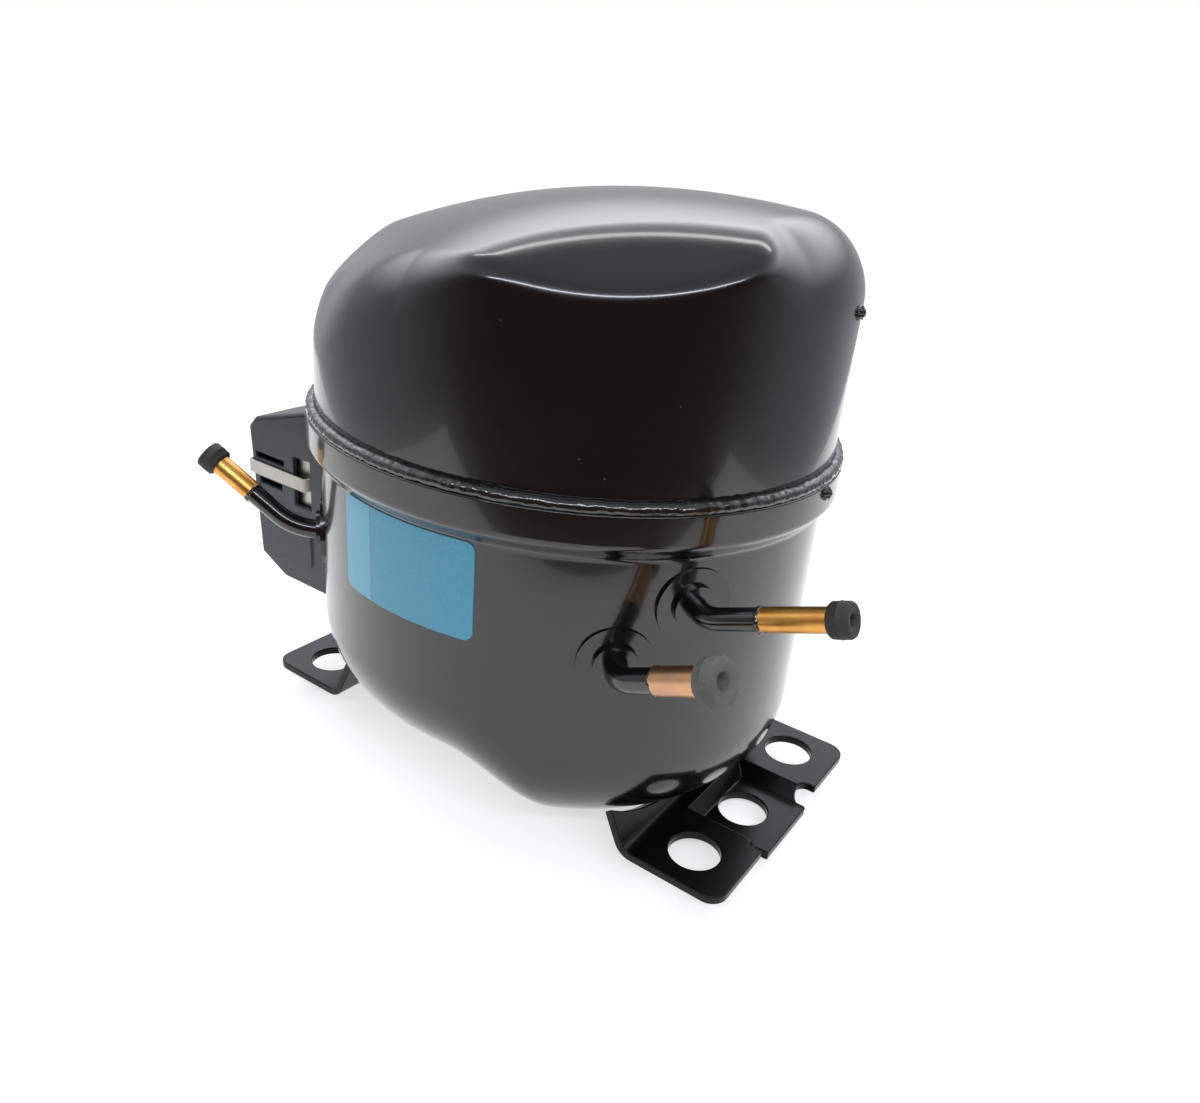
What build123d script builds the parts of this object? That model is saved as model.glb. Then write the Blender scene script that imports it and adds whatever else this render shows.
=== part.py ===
from math import cos, radians, sin, sqrt, tan

from build123d import *

# Hermetic reciprocating compressor, in millimetres.
# The origin is the centre of the 170 x 70 hole pattern, on the underside of the outer foot tabs.
# +X points at the cylinder head end, -X at the terminal box, +Z up.

# ---- feet -------------------------------------------------------------------------------------
hole_pitch_long = 170.0
hole_pitch_wide = 70.0
foot_hole = 17.0
foot_gauge = 3.0
foot_half_width = 50.0
foot_edge = 17.0            # hole centre to the outer edge of a tab
foot_corner = 6.0
foot_bend_x = 67.6          # where the foot turns up towards the shell
foot_wall_lean = 25.4       # lean of the upturned wall from vertical, degrees
foot_weld_margin = 12.0     # how far the upturned wall would run on inside the shell
middle_drop = 5.3           # the middle tab lies lower than the outer two
middle_half_width = 14.5
middle_start = 9.0          # bend line to the flat of the middle tab
middle_ramp = 6.0
notch_width = 7.0
notch_depth = 5.5

# ---- shell ------------------------------------------------------------------------------------
sheet = 3.0
upper_long = 88.4           # half length of the upper shell
upper_short = 80.8          # half width of the upper shell
mouth_step_long = 1.1       # how much the lower shell is smaller than the lid
mouth_step_short = 1.0
weld_fit = 0.05
lower_long = upper_long - mouth_step_long
lower_short = upper_short - mouth_step_short
deep_floor = 4.6            # outside of the sump end
shallow_floor = 18.5        # outside of the terminal end
step_middle = 26.0
step_length = 40.0
lower_round = 27.0
flare_start = 105.5
flare_height = 4.5
flange_top = 119.5
rim_seat = 1.1
crown_x = 35.0              # highest point of the roof
crown_y = 7.0
crown_z = 194.7
crown_along = 285.0         # roof radius along the length
crown_across = 132.0        # roof radius across the width
upper_round = 20.0
bead_height = 4.2
bead_inset = 0.7
bead_round = 1.9

# ---- pressed flats on the shoulders of the upper shell: azimuth, tilt up, run out from the crown ---
shoulder_flats = [(-59.5, 55.4, 25.9), (-80.7, 57.3, 18.5), (59.5, 55.4, 29.7),
                  (80.7, 57.3, 23.5), (-134.0, 50.0, 22.0)]

# ---- motor and pump ---------------------------------------------------------------------------
crank_x = -3.0
stack_bottom = 56.0
stack_height = 45.0
stator_side = 98.0
stator_cut = 8.0
air_gap = 0.4
rotor_radius = 26.0
slot_count = 24
slot_circle = 33.5
slot_radius = 2.8
slot_mouth = 1.6
wire_fit = 0.2
end_turn_outer = 43.5
end_turn_inner = 29.5
end_turn_height = 15.5
shaft_radius = 9.0
running_fit = 0.03
press_fit = 0.01
cage_ring_height = 8.0
cage_ring_outer = 25.0
cage_ring_inner = 15.0
cage_bars = 16
cage_bar_radius = 1.6
cage_bar_circle = 22.0
leg_height = 18.0
leg_side = 13.0
deck = 10.0
hub_radius = 15.0
hub_drop = 9.0
bore_radius = 13.0
throw = 10.5
rod_length = 38.0
pin_to_crown = 11.0
skirt = 7.0
crown_thickness = 3.0
skirt_wall = 2.5
wrist_radius = 4.5
wrist_length = 24.0
crankpin_radius = 8.0
web_height = 6.4
washer_height = 1.0
washer_fit = 0.1
rod_height = 12.0
open_pivot_gap = 0.3
big_end_radius = 13.0
bush_wall = 1.45
small_end_radius = 7.5
small_end_height = 10.0
shank_width = 8.0
shank_height = 9.0
cylinder_wall = 8.0
block_half_width = 25.0
gasket = 0.6
reed_gauge = 0.3
valve_plate_gauge = 3.4
head_depth = 13.0
screw_radius = 2.5
screw_offset_wide = 19.0
screw_offset_high = 15.0
spring_bottom = 30.0
spring_mean = 7.2
spring_wire = 1.8
spring_turns = 4.5
spring_cap = 8.0
spring_stem = 5.8
stem_reach = 6.5

# ---- tubes: wall azimuth, height, bend distance, azimuth and rise of the free end, lengths ------
tubes = {
    "suction": dict(azimuth=-42.8, z=72.8, bend_at=9.0, turn=12.0, heading=-9.3, rise=26.6,
                    steel=14.8, copper=17.0, steel_r=3.7, copper_r=4.1, plug_r=6.5, hole_r=2.3),
    "process": dict(azimuth=-28.4, z=90.5, bend_at=8.5, turn=12.0, heading=-0.2, rise=21.0,
                    steel=16.8, copper=19.5, steel_r=3.3, copper_r=3.5, plug_r=4.9, hole_r=1.6),
    "discharge": dict(azimuth=-138.0, z=74.5, bend_at=9.0, turn=21.0, heading=-158.2, rise=35.3,
                      steel=19.4, copper=14.0, steel_r=3.3, copper_r=3.5, plug_r=4.9, hole_r=1.6),
}
steel_wall = 0.9
copper_wall = 0.8
tube_inside = 5.0
plug_head = 6.0
plug_stem = 7.0
plug_fit = 0.05
collar_radius = 6.6
collar_height = 2.2
land_radius = 11.5
land_height = 0.6

# ---- label ------------------------------------------------------------------------------------
label_gauge = 0.3
label_width = 52.0
label_height = 31.0
label_centre_x = -0.8
label_bottom = 73.6
label_corner = 3.0

# ---- terminal box -----------------------------------------------------------------------------
cover_half_width = 44.0
cover_wall = 2.0
cover_clear = 1.0
cover_bottom = 38.6
cover_mouth = 10.3 - lower_long
cover_reach = -lower_long - 30.2        # outer face near its top
cover_top_outer = 100.0
cover_top_inner = 109.0
panel_proud = 0.7
fence_half_width = cover_half_width - 2.6
fence_bottom = 46.0
fence_top = 99.0
fence_gauge = 1.5
fence_reach = -lower_long - 8.7
terminal_z = 72.0
terminal_radius = 14.0
terminal_depth = 11.0
terminal_pin = 1.2
pin_places = [(0.0, 7.0), (-6.5, -4.5), (6.5, -4.5)]
strap_z = 78.0
strap_height = 5.0
strap_gauge = 0.8
strap_fit = 0.3

deck_bottom = stack_bottom + stack_height + leg_height
deck_top = deck_bottom + deck
web_bottom = deck_top + washer_height + washer_fit
web_top = web_bottom + web_height
bore_z = web_top + 0.6 + bore_radius
rod_bottom = bore_z - rod_height / 2
crankpin_top = rod_bottom - open_pivot_gap
flange_long = upper_long + weld_fit + sheet
flange_short = upper_short + weld_fit + sheet
rim_z = flare_start + flare_height + rim_seat
deck_side = stator_side
bolt_place = stator_side / 2 - 7.0
block_start = crank_x + big_end_radius + throw + 3.6
wrist_x = crank_x + throw + rod_length
block_end = wrist_x + pin_to_crown


def save(piece, name):
    piece.label = name
    export_step(piece, f"parts/{name}.step")


def ring_sketch(long, short, inner_long, inner_short):
    Ellipse(long, short)
    Ellipse(inner_long, inner_short, mode=Mode.SUBTRACT)


def lower_form(inset):
    """The lower shell as a full solid, drawn in by inset all round."""
    floor = deep_floor + inset
    high = shallow_floor + inset
    start = step_middle - step_length / 2
    end = step_middle + step_length / 2
    far = -2 * lower_long
    with BuildPart() as form:
        with BuildSketch(Plane.XY.offset(floor)):
            Ellipse(lower_long - inset, lower_short - inset)
        extrude(amount=flare_start - floor)
        with BuildSketch(Plane.XZ):
            with BuildLine():
                first = TangentArc((start, high), (step_middle, (floor + high) / 2), tangent=(1, 0))
                second = TangentArc(first @ 1, (end, floor), tangent=first % 1)
                Polyline(second @ 1, (end, floor - sheet), (far, floor - sheet), (far, high), first @ 0)
            make_face()
        extrude(amount=2 * lower_short, both=True, mode=Mode.SUBTRACT)
        bottom = [e for e in form.edges()
                  if e.geom_type != GeomType.LINE and e.center().Z < shallow_floor + sheet + 1]
        fillet(bottom, radius=lower_round - inset)
    return form.part


def upper_form(inset):
    """The upper shell as a full solid, drawn in by inset all round."""
    half_sweep = 32.0
    depth = crown_z - rim_z + 3 * sheet
    side = upper_short + 10
    along = crown_along - inset
    across = crown_across - inset
    pivot = crown_z - crown_along
    tilted = Plane(origin=(crown_x, 0, pivot), x_dir=(0, 1, 0),
                   z_dir=(cos(radians(half_sweep)), 0, sin(radians(half_sweep))))
    right = along - across + sqrt(across ** 2 - (side - crown_y) ** 2)
    left = along - across + sqrt(across ** 2 - (side + crown_y) ** 2)
    with BuildPart() as roof:
        with BuildSketch(tilted):
            with BuildLine():
                ThreePointArc((-side, left), (crown_y, along), (side, right))
                Polyline((side, right), (side, along - depth), (-side, along - depth), (-side, left))
            make_face()
        revolve(axis=Axis((crown_x, 0, pivot), (0, 1, 0)), revolution_arc=2 * half_sweep)
    with BuildPart() as form:
        with BuildSketch(Plane.XY.offset(rim_z - (1.0 if inset else 0.0))):
            Ellipse(upper_long - inset, upper_short - inset)
        extrude(amount=crown_z - rim_z + 5)
        add(roof.part, mode=Mode.INTERSECT)
        shoulder = [e for e in form.edges()
                    if e.geom_type != GeomType.LINE and e.center().Z > rim_z + 20]
        fillet(shoulder, radius=upper_round - inset)
        for azimuth, tilt, run in shoulder_flats:
            reach = crown_z * sin(radians(tilt)) + run
            out = Vector(cos(radians(tilt)) * cos(radians(azimuth)),
                         cos(radians(tilt)) * sin(radians(azimuth)), sin(radians(tilt)))
            with BuildSketch(Plane(origin=out * (reach - inset), z_dir=out)):
                Rectangle(4 * upper_long, 4 * upper_long)
            extrude(amount=60, mode=Mode.SUBTRACT)
    return form.part


def wall_point(azimuth, height):
    """Point on the lower shell's wall at an azimuth, with the wall's outward normal there."""
    c = cos(radians(azimuth))
    s = sin(radians(azimuth))
    reach = 1 / sqrt((c / lower_long) ** 2 + (s / lower_short) ** 2)
    point = Vector(reach * c, reach * s, height)
    normal = Vector(point.X / lower_long ** 2, point.Y / lower_short ** 2, 0).normalized()
    return point, normal


def heading_vector(azimuth, rise):
    flat = cos(radians(rise))
    return Vector(flat * cos(radians(azimuth)), flat * sin(radians(azimuth)), sin(radians(rise)))


# ---- the three tubes' centre lines, worked out from the wall ------------------------------------
routes = {}
for name, t in tubes.items():
    boss, normal = wall_point(t["azimuth"], t["z"])
    free = heading_vector(t["heading"], t["rise"])
    bend = boss + normal * t["bend_at"]
    junction = bend + free * t["steel"]
    start = boss - normal * (sheet + tube_inside)
    routes[name] = dict(boss=boss, normal=normal, free=free, bend=bend, junction=junction,
                        start=start, tip=junction + free * t["copper"])

# ---- lower shell: deep drawn pan with a stepped floor and a flared mouth -------------------------
lower_outside = lower_form(0)
lower_inside = lower_form(sheet)
terminal_x = -lower_long

with BuildPart() as lower_shell:
    add(lower_outside)
    with BuildSketch(Plane.XY.offset(flare_start)):
        Ellipse(lower_long, lower_short)
    with BuildSketch(Plane.XY.offset(flare_start + flare_height)):
        Ellipse(flange_long, flange_short)
    loft()
    with BuildSketch(Plane.XY.offset(flare_start + flare_height)):
        Ellipse(flange_long, flange_short)
    extrude(amount=flange_top - flare_start - flare_height)
    add(lower_inside, mode=Mode.SUBTRACT)
    with BuildSketch(Plane.XY.offset(flare_start)):
        Ellipse(lower_long - sheet, lower_short - sheet)
    extrude(amount=1.0, mode=Mode.SUBTRACT)
    with BuildSketch(Plane.XY.offset(flare_start + 1.0)):
        Ellipse(lower_long - sheet, lower_short - sheet)
    with BuildSketch(Plane.XY.offset(flare_start + 1.0 + flare_height)):
        Ellipse(upper_long + weld_fit, upper_short + weld_fit)
    loft(mode=Mode.SUBTRACT)
    with BuildSketch(Plane.XY.offset(flare_start + 1.0 + flare_height)):
        Ellipse(upper_long + weld_fit, upper_short + weld_fit)
    extrude(amount=flange_top, mode=Mode.SUBTRACT)
    for name, t in tubes.items():
        r = routes[name]
        with BuildSketch(Plane(origin=r["start"] - r["normal"] * 5, z_dir=r["normal"])):
            Circle(t["steel_r"] + plug_fit)
        extrude(amount=sheet + tube_inside + 15, mode=Mode.SUBTRACT)
    with BuildSketch(Plane(origin=(terminal_x + 15, 0, terminal_z), z_dir=(-1, 0, 0))):
        Circle(terminal_radius + plug_fit)
    extrude(amount=30, mode=Mode.SUBTRACT)
save(lower_shell.part, "lower_shell")

# ---- upper shell: drawn lid that slips into the flared mouth --------------------------------------
with BuildPart() as upper_shell:
    add(upper_form(0))
    add(upper_form(sheet), mode=Mode.SUBTRACT)
save(upper_shell.part, "upper_shell")

# ---- fillet weld laid round the mouth -------------------------------------------------------------
with BuildPart() as seam_weld:
    with BuildSketch(Plane.XY.offset(flange_top)):
        ring_sketch(flange_long - bead_inset, flange_short - bead_inset, upper_long, upper_short)
    extrude(amount=bead_height)
    fillet(seam_weld.edges().group_by(Axis.Z)[-1].sort_by(SortBy.LENGTH)[-1], radius=bead_round)
save(seam_weld.part, "seam_weld")

# ---- two small weld pips: one on the lid, one on the flange ---------------------------------------
pip_radius = 2.6
with BuildPart() as shell_pips:
    for azimuth, height, long, short in [(9.0, 168.0, upper_long, upper_short),
                                         (2.0, 117.0, flange_long, flange_short)]:
        c = cos(radians(azimuth))
        s = sin(radians(azimuth))
        reach = 1 / sqrt((c / long) ** 2 + (s / short) ** 2)
        out = Vector(c * reach / long ** 2, s * reach / short ** 2, 0).normalized()
        with BuildSketch(Plane(origin=(c * reach, s * reach, height), z_dir=out)):
            Circle(pip_radius)
        extrude(amount=pip_radius, both=True, taper=12)
    with BuildSketch(Plane.XY.offset(rim_z)):
        Ellipse(upper_long, upper_short)
    extrude(amount=crown_z - rim_z, mode=Mode.SUBTRACT)
    with BuildSketch(Plane.XY.offset(flange_top)):
        Ellipse(flange_long, flange_short)
    extrude(amount=-10, mode=Mode.SUBTRACT)
save(shell_pips.part, "shell_pips")

# ---- feet: stamped plates, turned up to the shell's rounded bottom and welded there ----------------
plate_edge = hole_pitch_long / 2 + foot_edge


def pocket(shift):
    """The dished place of the middle tab, as a frustum open at the plate's outer edge."""
    top = shift + foot_gauge
    with BuildPart() as dish:
        near = foot_bend_x + middle_start - middle_ramp
        with BuildSketch(Plane.XY.offset(top)):
            with Locations(((near + plate_edge) / 2 + 10, 0)):
                Rectangle(plate_edge - near + 20, 2 * (middle_half_width + middle_ramp))
        with BuildSketch(Plane.XY.offset(shift - middle_drop)):
            with Locations(((near + middle_ramp + plate_edge) / 2 + 10, 0)):
                Rectangle(plate_edge - near - middle_ramp + 20, 2 * middle_half_width)
        loft()
    return dish.part


def foot(side, shell_floor):
    """One foot; side is 1 at the +X end and -1 at the -X end."""
    lean = tan(radians(foot_wall_lean))
    rise = shell_floor + foot_weld_margin
    skew = foot_gauge / cos(radians(foot_wall_lean))
    with BuildPart() as plate:
        with BuildSketch(Plane.XZ):
            with BuildLine():
                Polyline((plate_edge, 0), (plate_edge, foot_gauge), (foot_bend_x, foot_gauge),
                         (foot_bend_x - rise * lean, foot_gauge + rise),
                         (foot_bend_x - rise * lean - skew, foot_gauge + rise),
                         (foot_bend_x - skew + foot_gauge * lean, 0), close=True)
            make_face()
        extrude(amount=foot_half_width, both=True)
        bends = [e for e in plate.edges().filter_by(Axis.Y)
                 if abs(e.center().X - foot_bend_x) < 4 and e.center().Z < foot_gauge + 1]
        for e in bends:
            outer_bend = e.center().Z < foot_gauge / 2
            fillet(plate.edges().filter_by(Axis.Y).sort_by_distance(e.center())[0],
                   radius=(4.0 + foot_gauge) if outer_bend else 4.0)
        fillet(plate.edges().filter_by(Axis.Z).group_by(Axis.X)[-1], radius=foot_corner)
        add(pocket(0))
        add(pocket(foot_gauge), mode=Mode.SUBTRACT)
        with BuildSketch(Plane.XY.offset(-2 * middle_drop)):
            with Locations((plate_edge + 20, 0)):
                Rectangle(40, 4 * foot_half_width)
            for way in (1, -1):
                with Locations((plate_edge, way * (middle_half_width + notch_width / 2))):
                    SlotOverall(2 * notch_depth, notch_width - 0.5)
        extrude(amount=4 * middle_drop, mode=Mode.SUBTRACT)
        with BuildSketch(Plane.XY.offset(-2 * middle_drop)):
            with Locations((hole_pitch_long / 2, 0)):
                with GridLocations(0, hole_pitch_wide / 2, 1, 3):
                    Circle(foot_hole / 2)
        extrude(amount=4 * middle_drop, mode=Mode.SUBTRACT)
    body = plate.part
    if side < 0:
        body = body.mirror(Plane.YZ)
    with BuildPart() as trimmed:
        add(body)
        add(lower_outside, mode=Mode.SUBTRACT)
    return max(trimmed.part.solids(), key=lambda solid: solid.volume)


save(foot(1, deep_floor + lower_round), "foot_right")
save(foot(-1, shallow_floor + lower_round), "foot_left")

# ---- tube sets: steel elbow through the wall, copper stub brazed on its end, rubber plug ----------
for name, t in tubes.items():
    r = routes[name]
    with BuildPart() as tube:
        with BuildLine():
            FilletPolyline(r["start"], r["bend"], r["junction"], radius=t["turn"])
        with BuildSketch(Plane(origin=r["start"], z_dir=r["normal"])):
            Circle(t["steel_r"])
            Circle(t["steel_r"] - steel_wall, mode=Mode.SUBTRACT)
        sweep()
    save(tube.part, f"{name}_tube")

    bore = t["copper_r"] - copper_wall
    with BuildPart() as stub:
        with BuildSketch(Plane(origin=r["junction"], z_dir=r["free"])):
            Circle(t["copper_r"])
            Circle(bore, mode=Mode.SUBTRACT)
        extrude(amount=t["copper"])
    save(stub.part, f"{name}_stub")

    with BuildPart() as plug:
        with BuildSketch(Plane(origin=r["tip"] + r["free"] * plug_fit, z_dir=r["free"])):
            Circle(t["plug_r"])
        extrude(amount=plug_head)
        fillet(plug.edges(), radius=0.5)
        with BuildSketch(Plane(origin=r["tip"] + r["free"] * (plug_fit + 1), z_dir=r["free"])):
            Circle(bore - plug_fit)
        extrude(amount=-plug_stem - 1)
        with BuildSketch(Plane(origin=r["tip"] + r["free"] * (plug_fit + plug_head), z_dir=r["free"])):
            Circle(min(t["hole_r"], bore - plug_fit - 0.8))
        extrude(amount=-plug_head - 2, mode=Mode.SUBTRACT)
    save(plug.part, f"{name}_plug")

# ---- round lands with a raised collar, welded to the wall round each tube -------------------------
with BuildPart() as tube_collars:
    for name, t in tubes.items():
        r = routes[name]
        with BuildSketch(Plane(origin=r["boss"] - r["normal"] * 2, z_dir=r["normal"])):
            Circle(land_radius)
        extrude(amount=2 + land_height)
        with BuildSketch(Plane(origin=r["boss"], z_dir=r["normal"])):
            Circle(collar_radius)
        extrude(amount=collar_height)
        with BuildSketch(Plane(origin=r["boss"] - r["normal"] * 6, z_dir=r["normal"])):
            Circle(t["steel_r"] + plug_fit)
        extrude(amount=20, mode=Mode.SUBTRACT)
    add(lower_outside, mode=Mode.SUBTRACT)
save(tube_collars.part, "tube_collars")

# ---- rating label: thin sheet laid on the wall, left bare -----------------------------------------
with BuildPart() as rating_label:
    with BuildSketch(Plane.XY.offset(label_bottom)):
        ring_sketch(lower_long + label_gauge, lower_short + label_gauge, lower_long, lower_short)
    extrude(amount=label_height)
    with BuildSketch(Plane.XZ):
        with Locations((label_centre_x, label_bottom + label_height / 2)):
            RectangleRounded(label_width, label_height, label_corner)
    extrude(amount=2 * lower_short, mode=Mode.INTERSECT)
save(rating_label.part, "rating_label")

# ---- terminal: pressed steel cup in the wall with three pins, in a welded fence -------------------
terminal_plane = Plane(origin=(terminal_x, 0, terminal_z), x_dir=(0, 1, 0), z_dir=(-1, 0, 0))
with BuildPart() as terminal_body:
    with BuildSketch(terminal_plane.offset(-terminal_depth + 3)):
        Circle(terminal_radius)
    extrude(amount=terminal_depth)
    fillet(terminal_body.edges().sort_by(Axis.X)[-1], radius=2.0)
    with BuildSketch(terminal_plane.offset(3)):
        Circle(terminal_radius - 2)
    extrude(amount=-terminal_depth + 3, mode=Mode.SUBTRACT)
    with BuildSketch(terminal_plane.offset(-terminal_depth)):
        with Locations(*[(y, -z) for y, z in pin_places]):
            Circle(terminal_pin)
    extrude(amount=3 * terminal_depth, mode=Mode.SUBTRACT)
save(terminal_body.part, "terminal_body")

pin_outside = 13.0
pin_inside = 7.0
with BuildPart() as terminal_pins:
    with BuildSketch(terminal_plane.offset(-terminal_depth + 3 - pin_inside)):
        with Locations(*[(y, -z) for y, z in pin_places]):
            Circle(terminal_pin)
    extrude(amount=terminal_depth - 3 + pin_inside + pin_outside)
save(terminal_pins.part, "terminal_pins")

with BuildPart() as terminal_fence:
    fence_height = fence_top - fence_bottom
    with BuildSketch(Plane.YZ.offset(fence_reach)):
        with Locations((0, (fence_top + fence_bottom) / 2)):
            RectangleRounded(2 * fence_half_width, fence_height, 5)
            RectangleRounded(2 * (fence_half_width - fence_gauge), fence_height - 2 * fence_gauge,
                             5 - fence_gauge, mode=Mode.SUBTRACT)
    extrude(amount=-fence_reach - lower_long * 0.5)
    with BuildSketch(Plane.XY.offset(fence_bottom - 1)):
        Ellipse(lower_long, lower_short)
    extrude(amount=fence_height + 2, mode=Mode.SUBTRACT)
    with Locations((fence_reach + 6, 28, fence_bottom - 5)):
        Cylinder(2.05, 20, mode=Mode.SUBTRACT)
save(terminal_fence.part, "terminal_fence")

with BuildPart() as earth_screw:
    with BuildSketch(Plane.XY.offset(fence_bottom + fence_gauge)):
        with Locations((fence_reach + 6, 28)):
            Circle(3.8)
    extrude(amount=2.8)
    fillet(earth_screw.edges().group_by(Axis.Z)[-1], radius=1.2)
    with BuildSketch(Plane.XY.offset(fence_bottom + fence_gauge)):
        with Locations((fence_reach + 6, 28)):
            Circle(2.0)
    extrude(amount=-6)
    with BuildSketch(Plane.XY.offset(fence_bottom + fence_gauge + 2.8)):
        with Locations((fence_reach + 6, 28)):
            Rectangle(5, 1)
            Rectangle(1, 5)
    extrude(amount=-1.6, mode=Mode.SUBTRACT)
save(earth_screw.part, "earth_screw")

# starting device on the two lower pins, overload protector on the upper one
device_back = terminal_x - 4.5
with BuildPart() as start_relay:
    with BuildSketch(Plane.YZ.offset(device_back)):
        with Locations((0, terminal_z - 10.5)):
            RectangleRounded(38, 21, 2.5)
    extrude(amount=-15)
    fillet(start_relay.faces().sort_by(Axis.X)[0].edges(), radius=1.2)
    with BuildSketch(terminal_plane):
        with Locations(*[(y, -z) for y, z in pin_places[1:]]):
            Circle(terminal_pin + 0.05)
    extrude(amount=pin_outside + 2, mode=Mode.SUBTRACT)
save(start_relay.part, "start_relay")

with BuildPart() as overload_protector:
    with BuildSketch(Plane.YZ.offset(device_back)):
        with Locations((0, terminal_z + 14.0)):
            Circle(11.5)
    extrude(amount=-13)
    fillet(overload_protector.faces().sort_by(Axis.X)[0].edges(), radius=1.5)
    with BuildSketch(Plane.YZ.offset(device_back - 13)):
        with Locations((0, terminal_z + 14.0)):
            Circle(7.5)
    extrude(amount=-1.5)
    with BuildSketch(terminal_plane):
        with Locations((pin_places[0][0], -pin_places[0][1])):
            Circle(terminal_pin + 0.05)
    extrude(amount=pin_outside + 2, mode=Mode.SUBTRACT)
save(overload_protector.part, "overload_protector")


# ---- terminal cover: moulded box over the fence, open towards the shell ---------------------------
def cover_form(inset, half_width):
    """Cover block in its XZ outline, drawn in by inset."""
    low = cover_bottom + inset
    far = cover_reach + inset
    with BuildPart() as block:
        with BuildSketch(Plane.XZ):
            with BuildLine():
                Polyline((0, low), (cover_reach + 15, low), (far + 3.0, low + 6.0),
                         (far, cover_top_outer - 4 - inset), (far + 4, cover_top_outer - inset),
                         (cover_mouth - 6, cover_top_inner - inset), (0, cover_top_inner - inset),
                         close=True)
            make_face()
        extrude(amount=half_width, both=True)
    return block.part


window_end = cover_mouth - 6.5
strap_middle = strap_z + strap_height / 2
with BuildPart() as terminal_cover:
    add(cover_form(0, cover_half_width))
    long_edges = [e for e in terminal_cover.edges().filter_by(Plane.XZ) if e.center().X < -60]
    fillet([e for e in long_edges if abs(abs(e.center().Y) - cover_half_width) < 0.1], radius=1.6)
    for way in (1, -1):
        with BuildSketch(Plane.XZ.offset(way * (cover_half_width - 1))):
            with Locations(((cover_reach + cover_mouth) / 2, cover_bottom + 18.5)):
                RectangleRounded(27, 20, 2)
        extrude(amount=way * (1 + panel_proud))
    add(cover_form(cover_wall, cover_half_width - cover_wall), mode=Mode.SUBTRACT)
    with BuildSketch(Plane.XY.offset(cover_bottom - 10)):
        Ellipse(lower_long + cover_clear, lower_short + cover_clear)
    extrude(amount=100, mode=Mode.SUBTRACT)
    with BuildSketch(Plane.XY.offset(flare_start - 1)):
        Ellipse(flange_long + cover_clear, flange_short + cover_clear)
    extrude(amount=40, mode=Mode.SUBTRACT)
    with BuildSketch(Plane.XY):
        with Locations((cover_mouth + 50, 0)):
            Rectangle(100, 4 * cover_half_width)
    extrude(amount=200, mode=Mode.SUBTRACT)
    with BuildSketch(Plane.XZ):
        with Locations((window_end - 4.5, strap_middle)):
            Rectangle(9, 19)
        with Locations(((cover_reach + window_end - 9) / 2 - 1, strap_middle + strap_height / 2 + 2.4)):
            Rectangle(16, 2.2)
        with Locations(((cover_reach + window_end - 9) / 2 - 1, strap_middle - strap_height / 2 - 2.4)):
            Rectangle(13, 2.2)
    extrude(amount=2 * cover_half_width, both=True, mode=Mode.SUBTRACT)
    with BuildSketch(Plane.XY.offset(cover_bottom - 5)):
        with Locations((cover_reach + 22, -24)):
            SlotOverall(12, 7)
    extrude(amount=12, mode=Mode.SUBTRACT)
save(terminal_cover.part, "terminal_cover")

# spring strap round the cover's outer face, hooked through both windows onto the fence
strap_half = cover_half_width + strap_fit + strap_gauge / 2
face_lean = 3.0 * (cover_top_outer - 4 - strap_z - strap_height) / (cover_top_outer - 10 - cover_bottom)
strap_face = cover_reach + face_lean - strap_fit - strap_gauge / 2
with BuildPart() as cover_clip:
    with BuildSketch(Plane.XY.offset(strap_z)):
        with BuildLine():
            FilletPolyline((window_end - 2, fence_half_width + 0.9), (window_end - 2, strap_half),
                           (strap_face, strap_half), (strap_face, -strap_half),
                           (window_end - 2, -strap_half), (window_end - 2, -fence_half_width - 0.9),
                           radius=1.5)
        trace(line_width=strap_gauge)
    extrude(amount=strap_height)
save(cover_clip.part, "cover_clip")

# ---- motor: laminated stator with slots, one winding through all slots ----------------------------
stack_top = stack_bottom + stack_height
stator_bore = rotor_radius + air_gap
with BuildPart() as stator_core:
    with BuildSketch(Plane.XY.offset(stack_bottom)):
        with Locations((crank_x, 0)):
            square = Rectangle(stator_side, stator_side)
        chamfer(square.vertices(), stator_cut)
        with Locations((crank_x, 0)):
            Circle(stator_bore, mode=Mode.SUBTRACT)
            with PolarLocations(slot_circle, slot_count):
                Circle(slot_radius, mode=Mode.SUBTRACT)
            with PolarLocations((slot_circle + stator_bore) / 2 - 1, slot_count):
                Rectangle(slot_circle - stator_bore + 2, slot_mouth, mode=Mode.SUBTRACT)
            with GridLocations(2 * bolt_place, 2 * bolt_place, 2, 2):
                Circle(screw_radius + 0.2, mode=Mode.SUBTRACT)
    extrude(amount=stack_height)
save(stator_core.part, "stator_core")

with BuildPart() as stator_winding:
    for low in (stack_bottom - end_turn_height, stack_top):
        with BuildSketch(Plane.XY.offset(low)):
            with Locations((crank_x, 0)):
                Circle(end_turn_outer)
                Circle(end_turn_inner, mode=Mode.SUBTRACT)
        extrude(amount=end_turn_height)
    outer_rims = [e for e in stator_winding.edges().filter_by(GeomType.CIRCLE)
                  if abs(e.center().Z - stack_bottom) > 1 and abs(e.center().Z - stack_top) > 1]
    fillet(outer_rims, radius=5.0)
    with BuildSketch(Plane.XY.offset(stack_bottom)):
        with Locations((crank_x, 0)):
            with PolarLocations(slot_circle, slot_count):
                Circle(slot_radius - wire_fit)
    extrude(amount=stack_height)
save(stator_winding.part, "stator_winding")

with BuildPart() as rotor_core:
    with BuildSketch(Plane.XY.offset(stack_bottom)):
        with Locations((crank_x, 0)):
            Circle(rotor_radius)
            Circle(shaft_radius + press_fit, mode=Mode.SUBTRACT)
            with PolarLocations(cage_bar_circle, cage_bars):
                Circle(cage_bar_radius + press_fit, mode=Mode.SUBTRACT)
    extrude(amount=stack_height)
save(rotor_core.part, "rotor_core")

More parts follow.
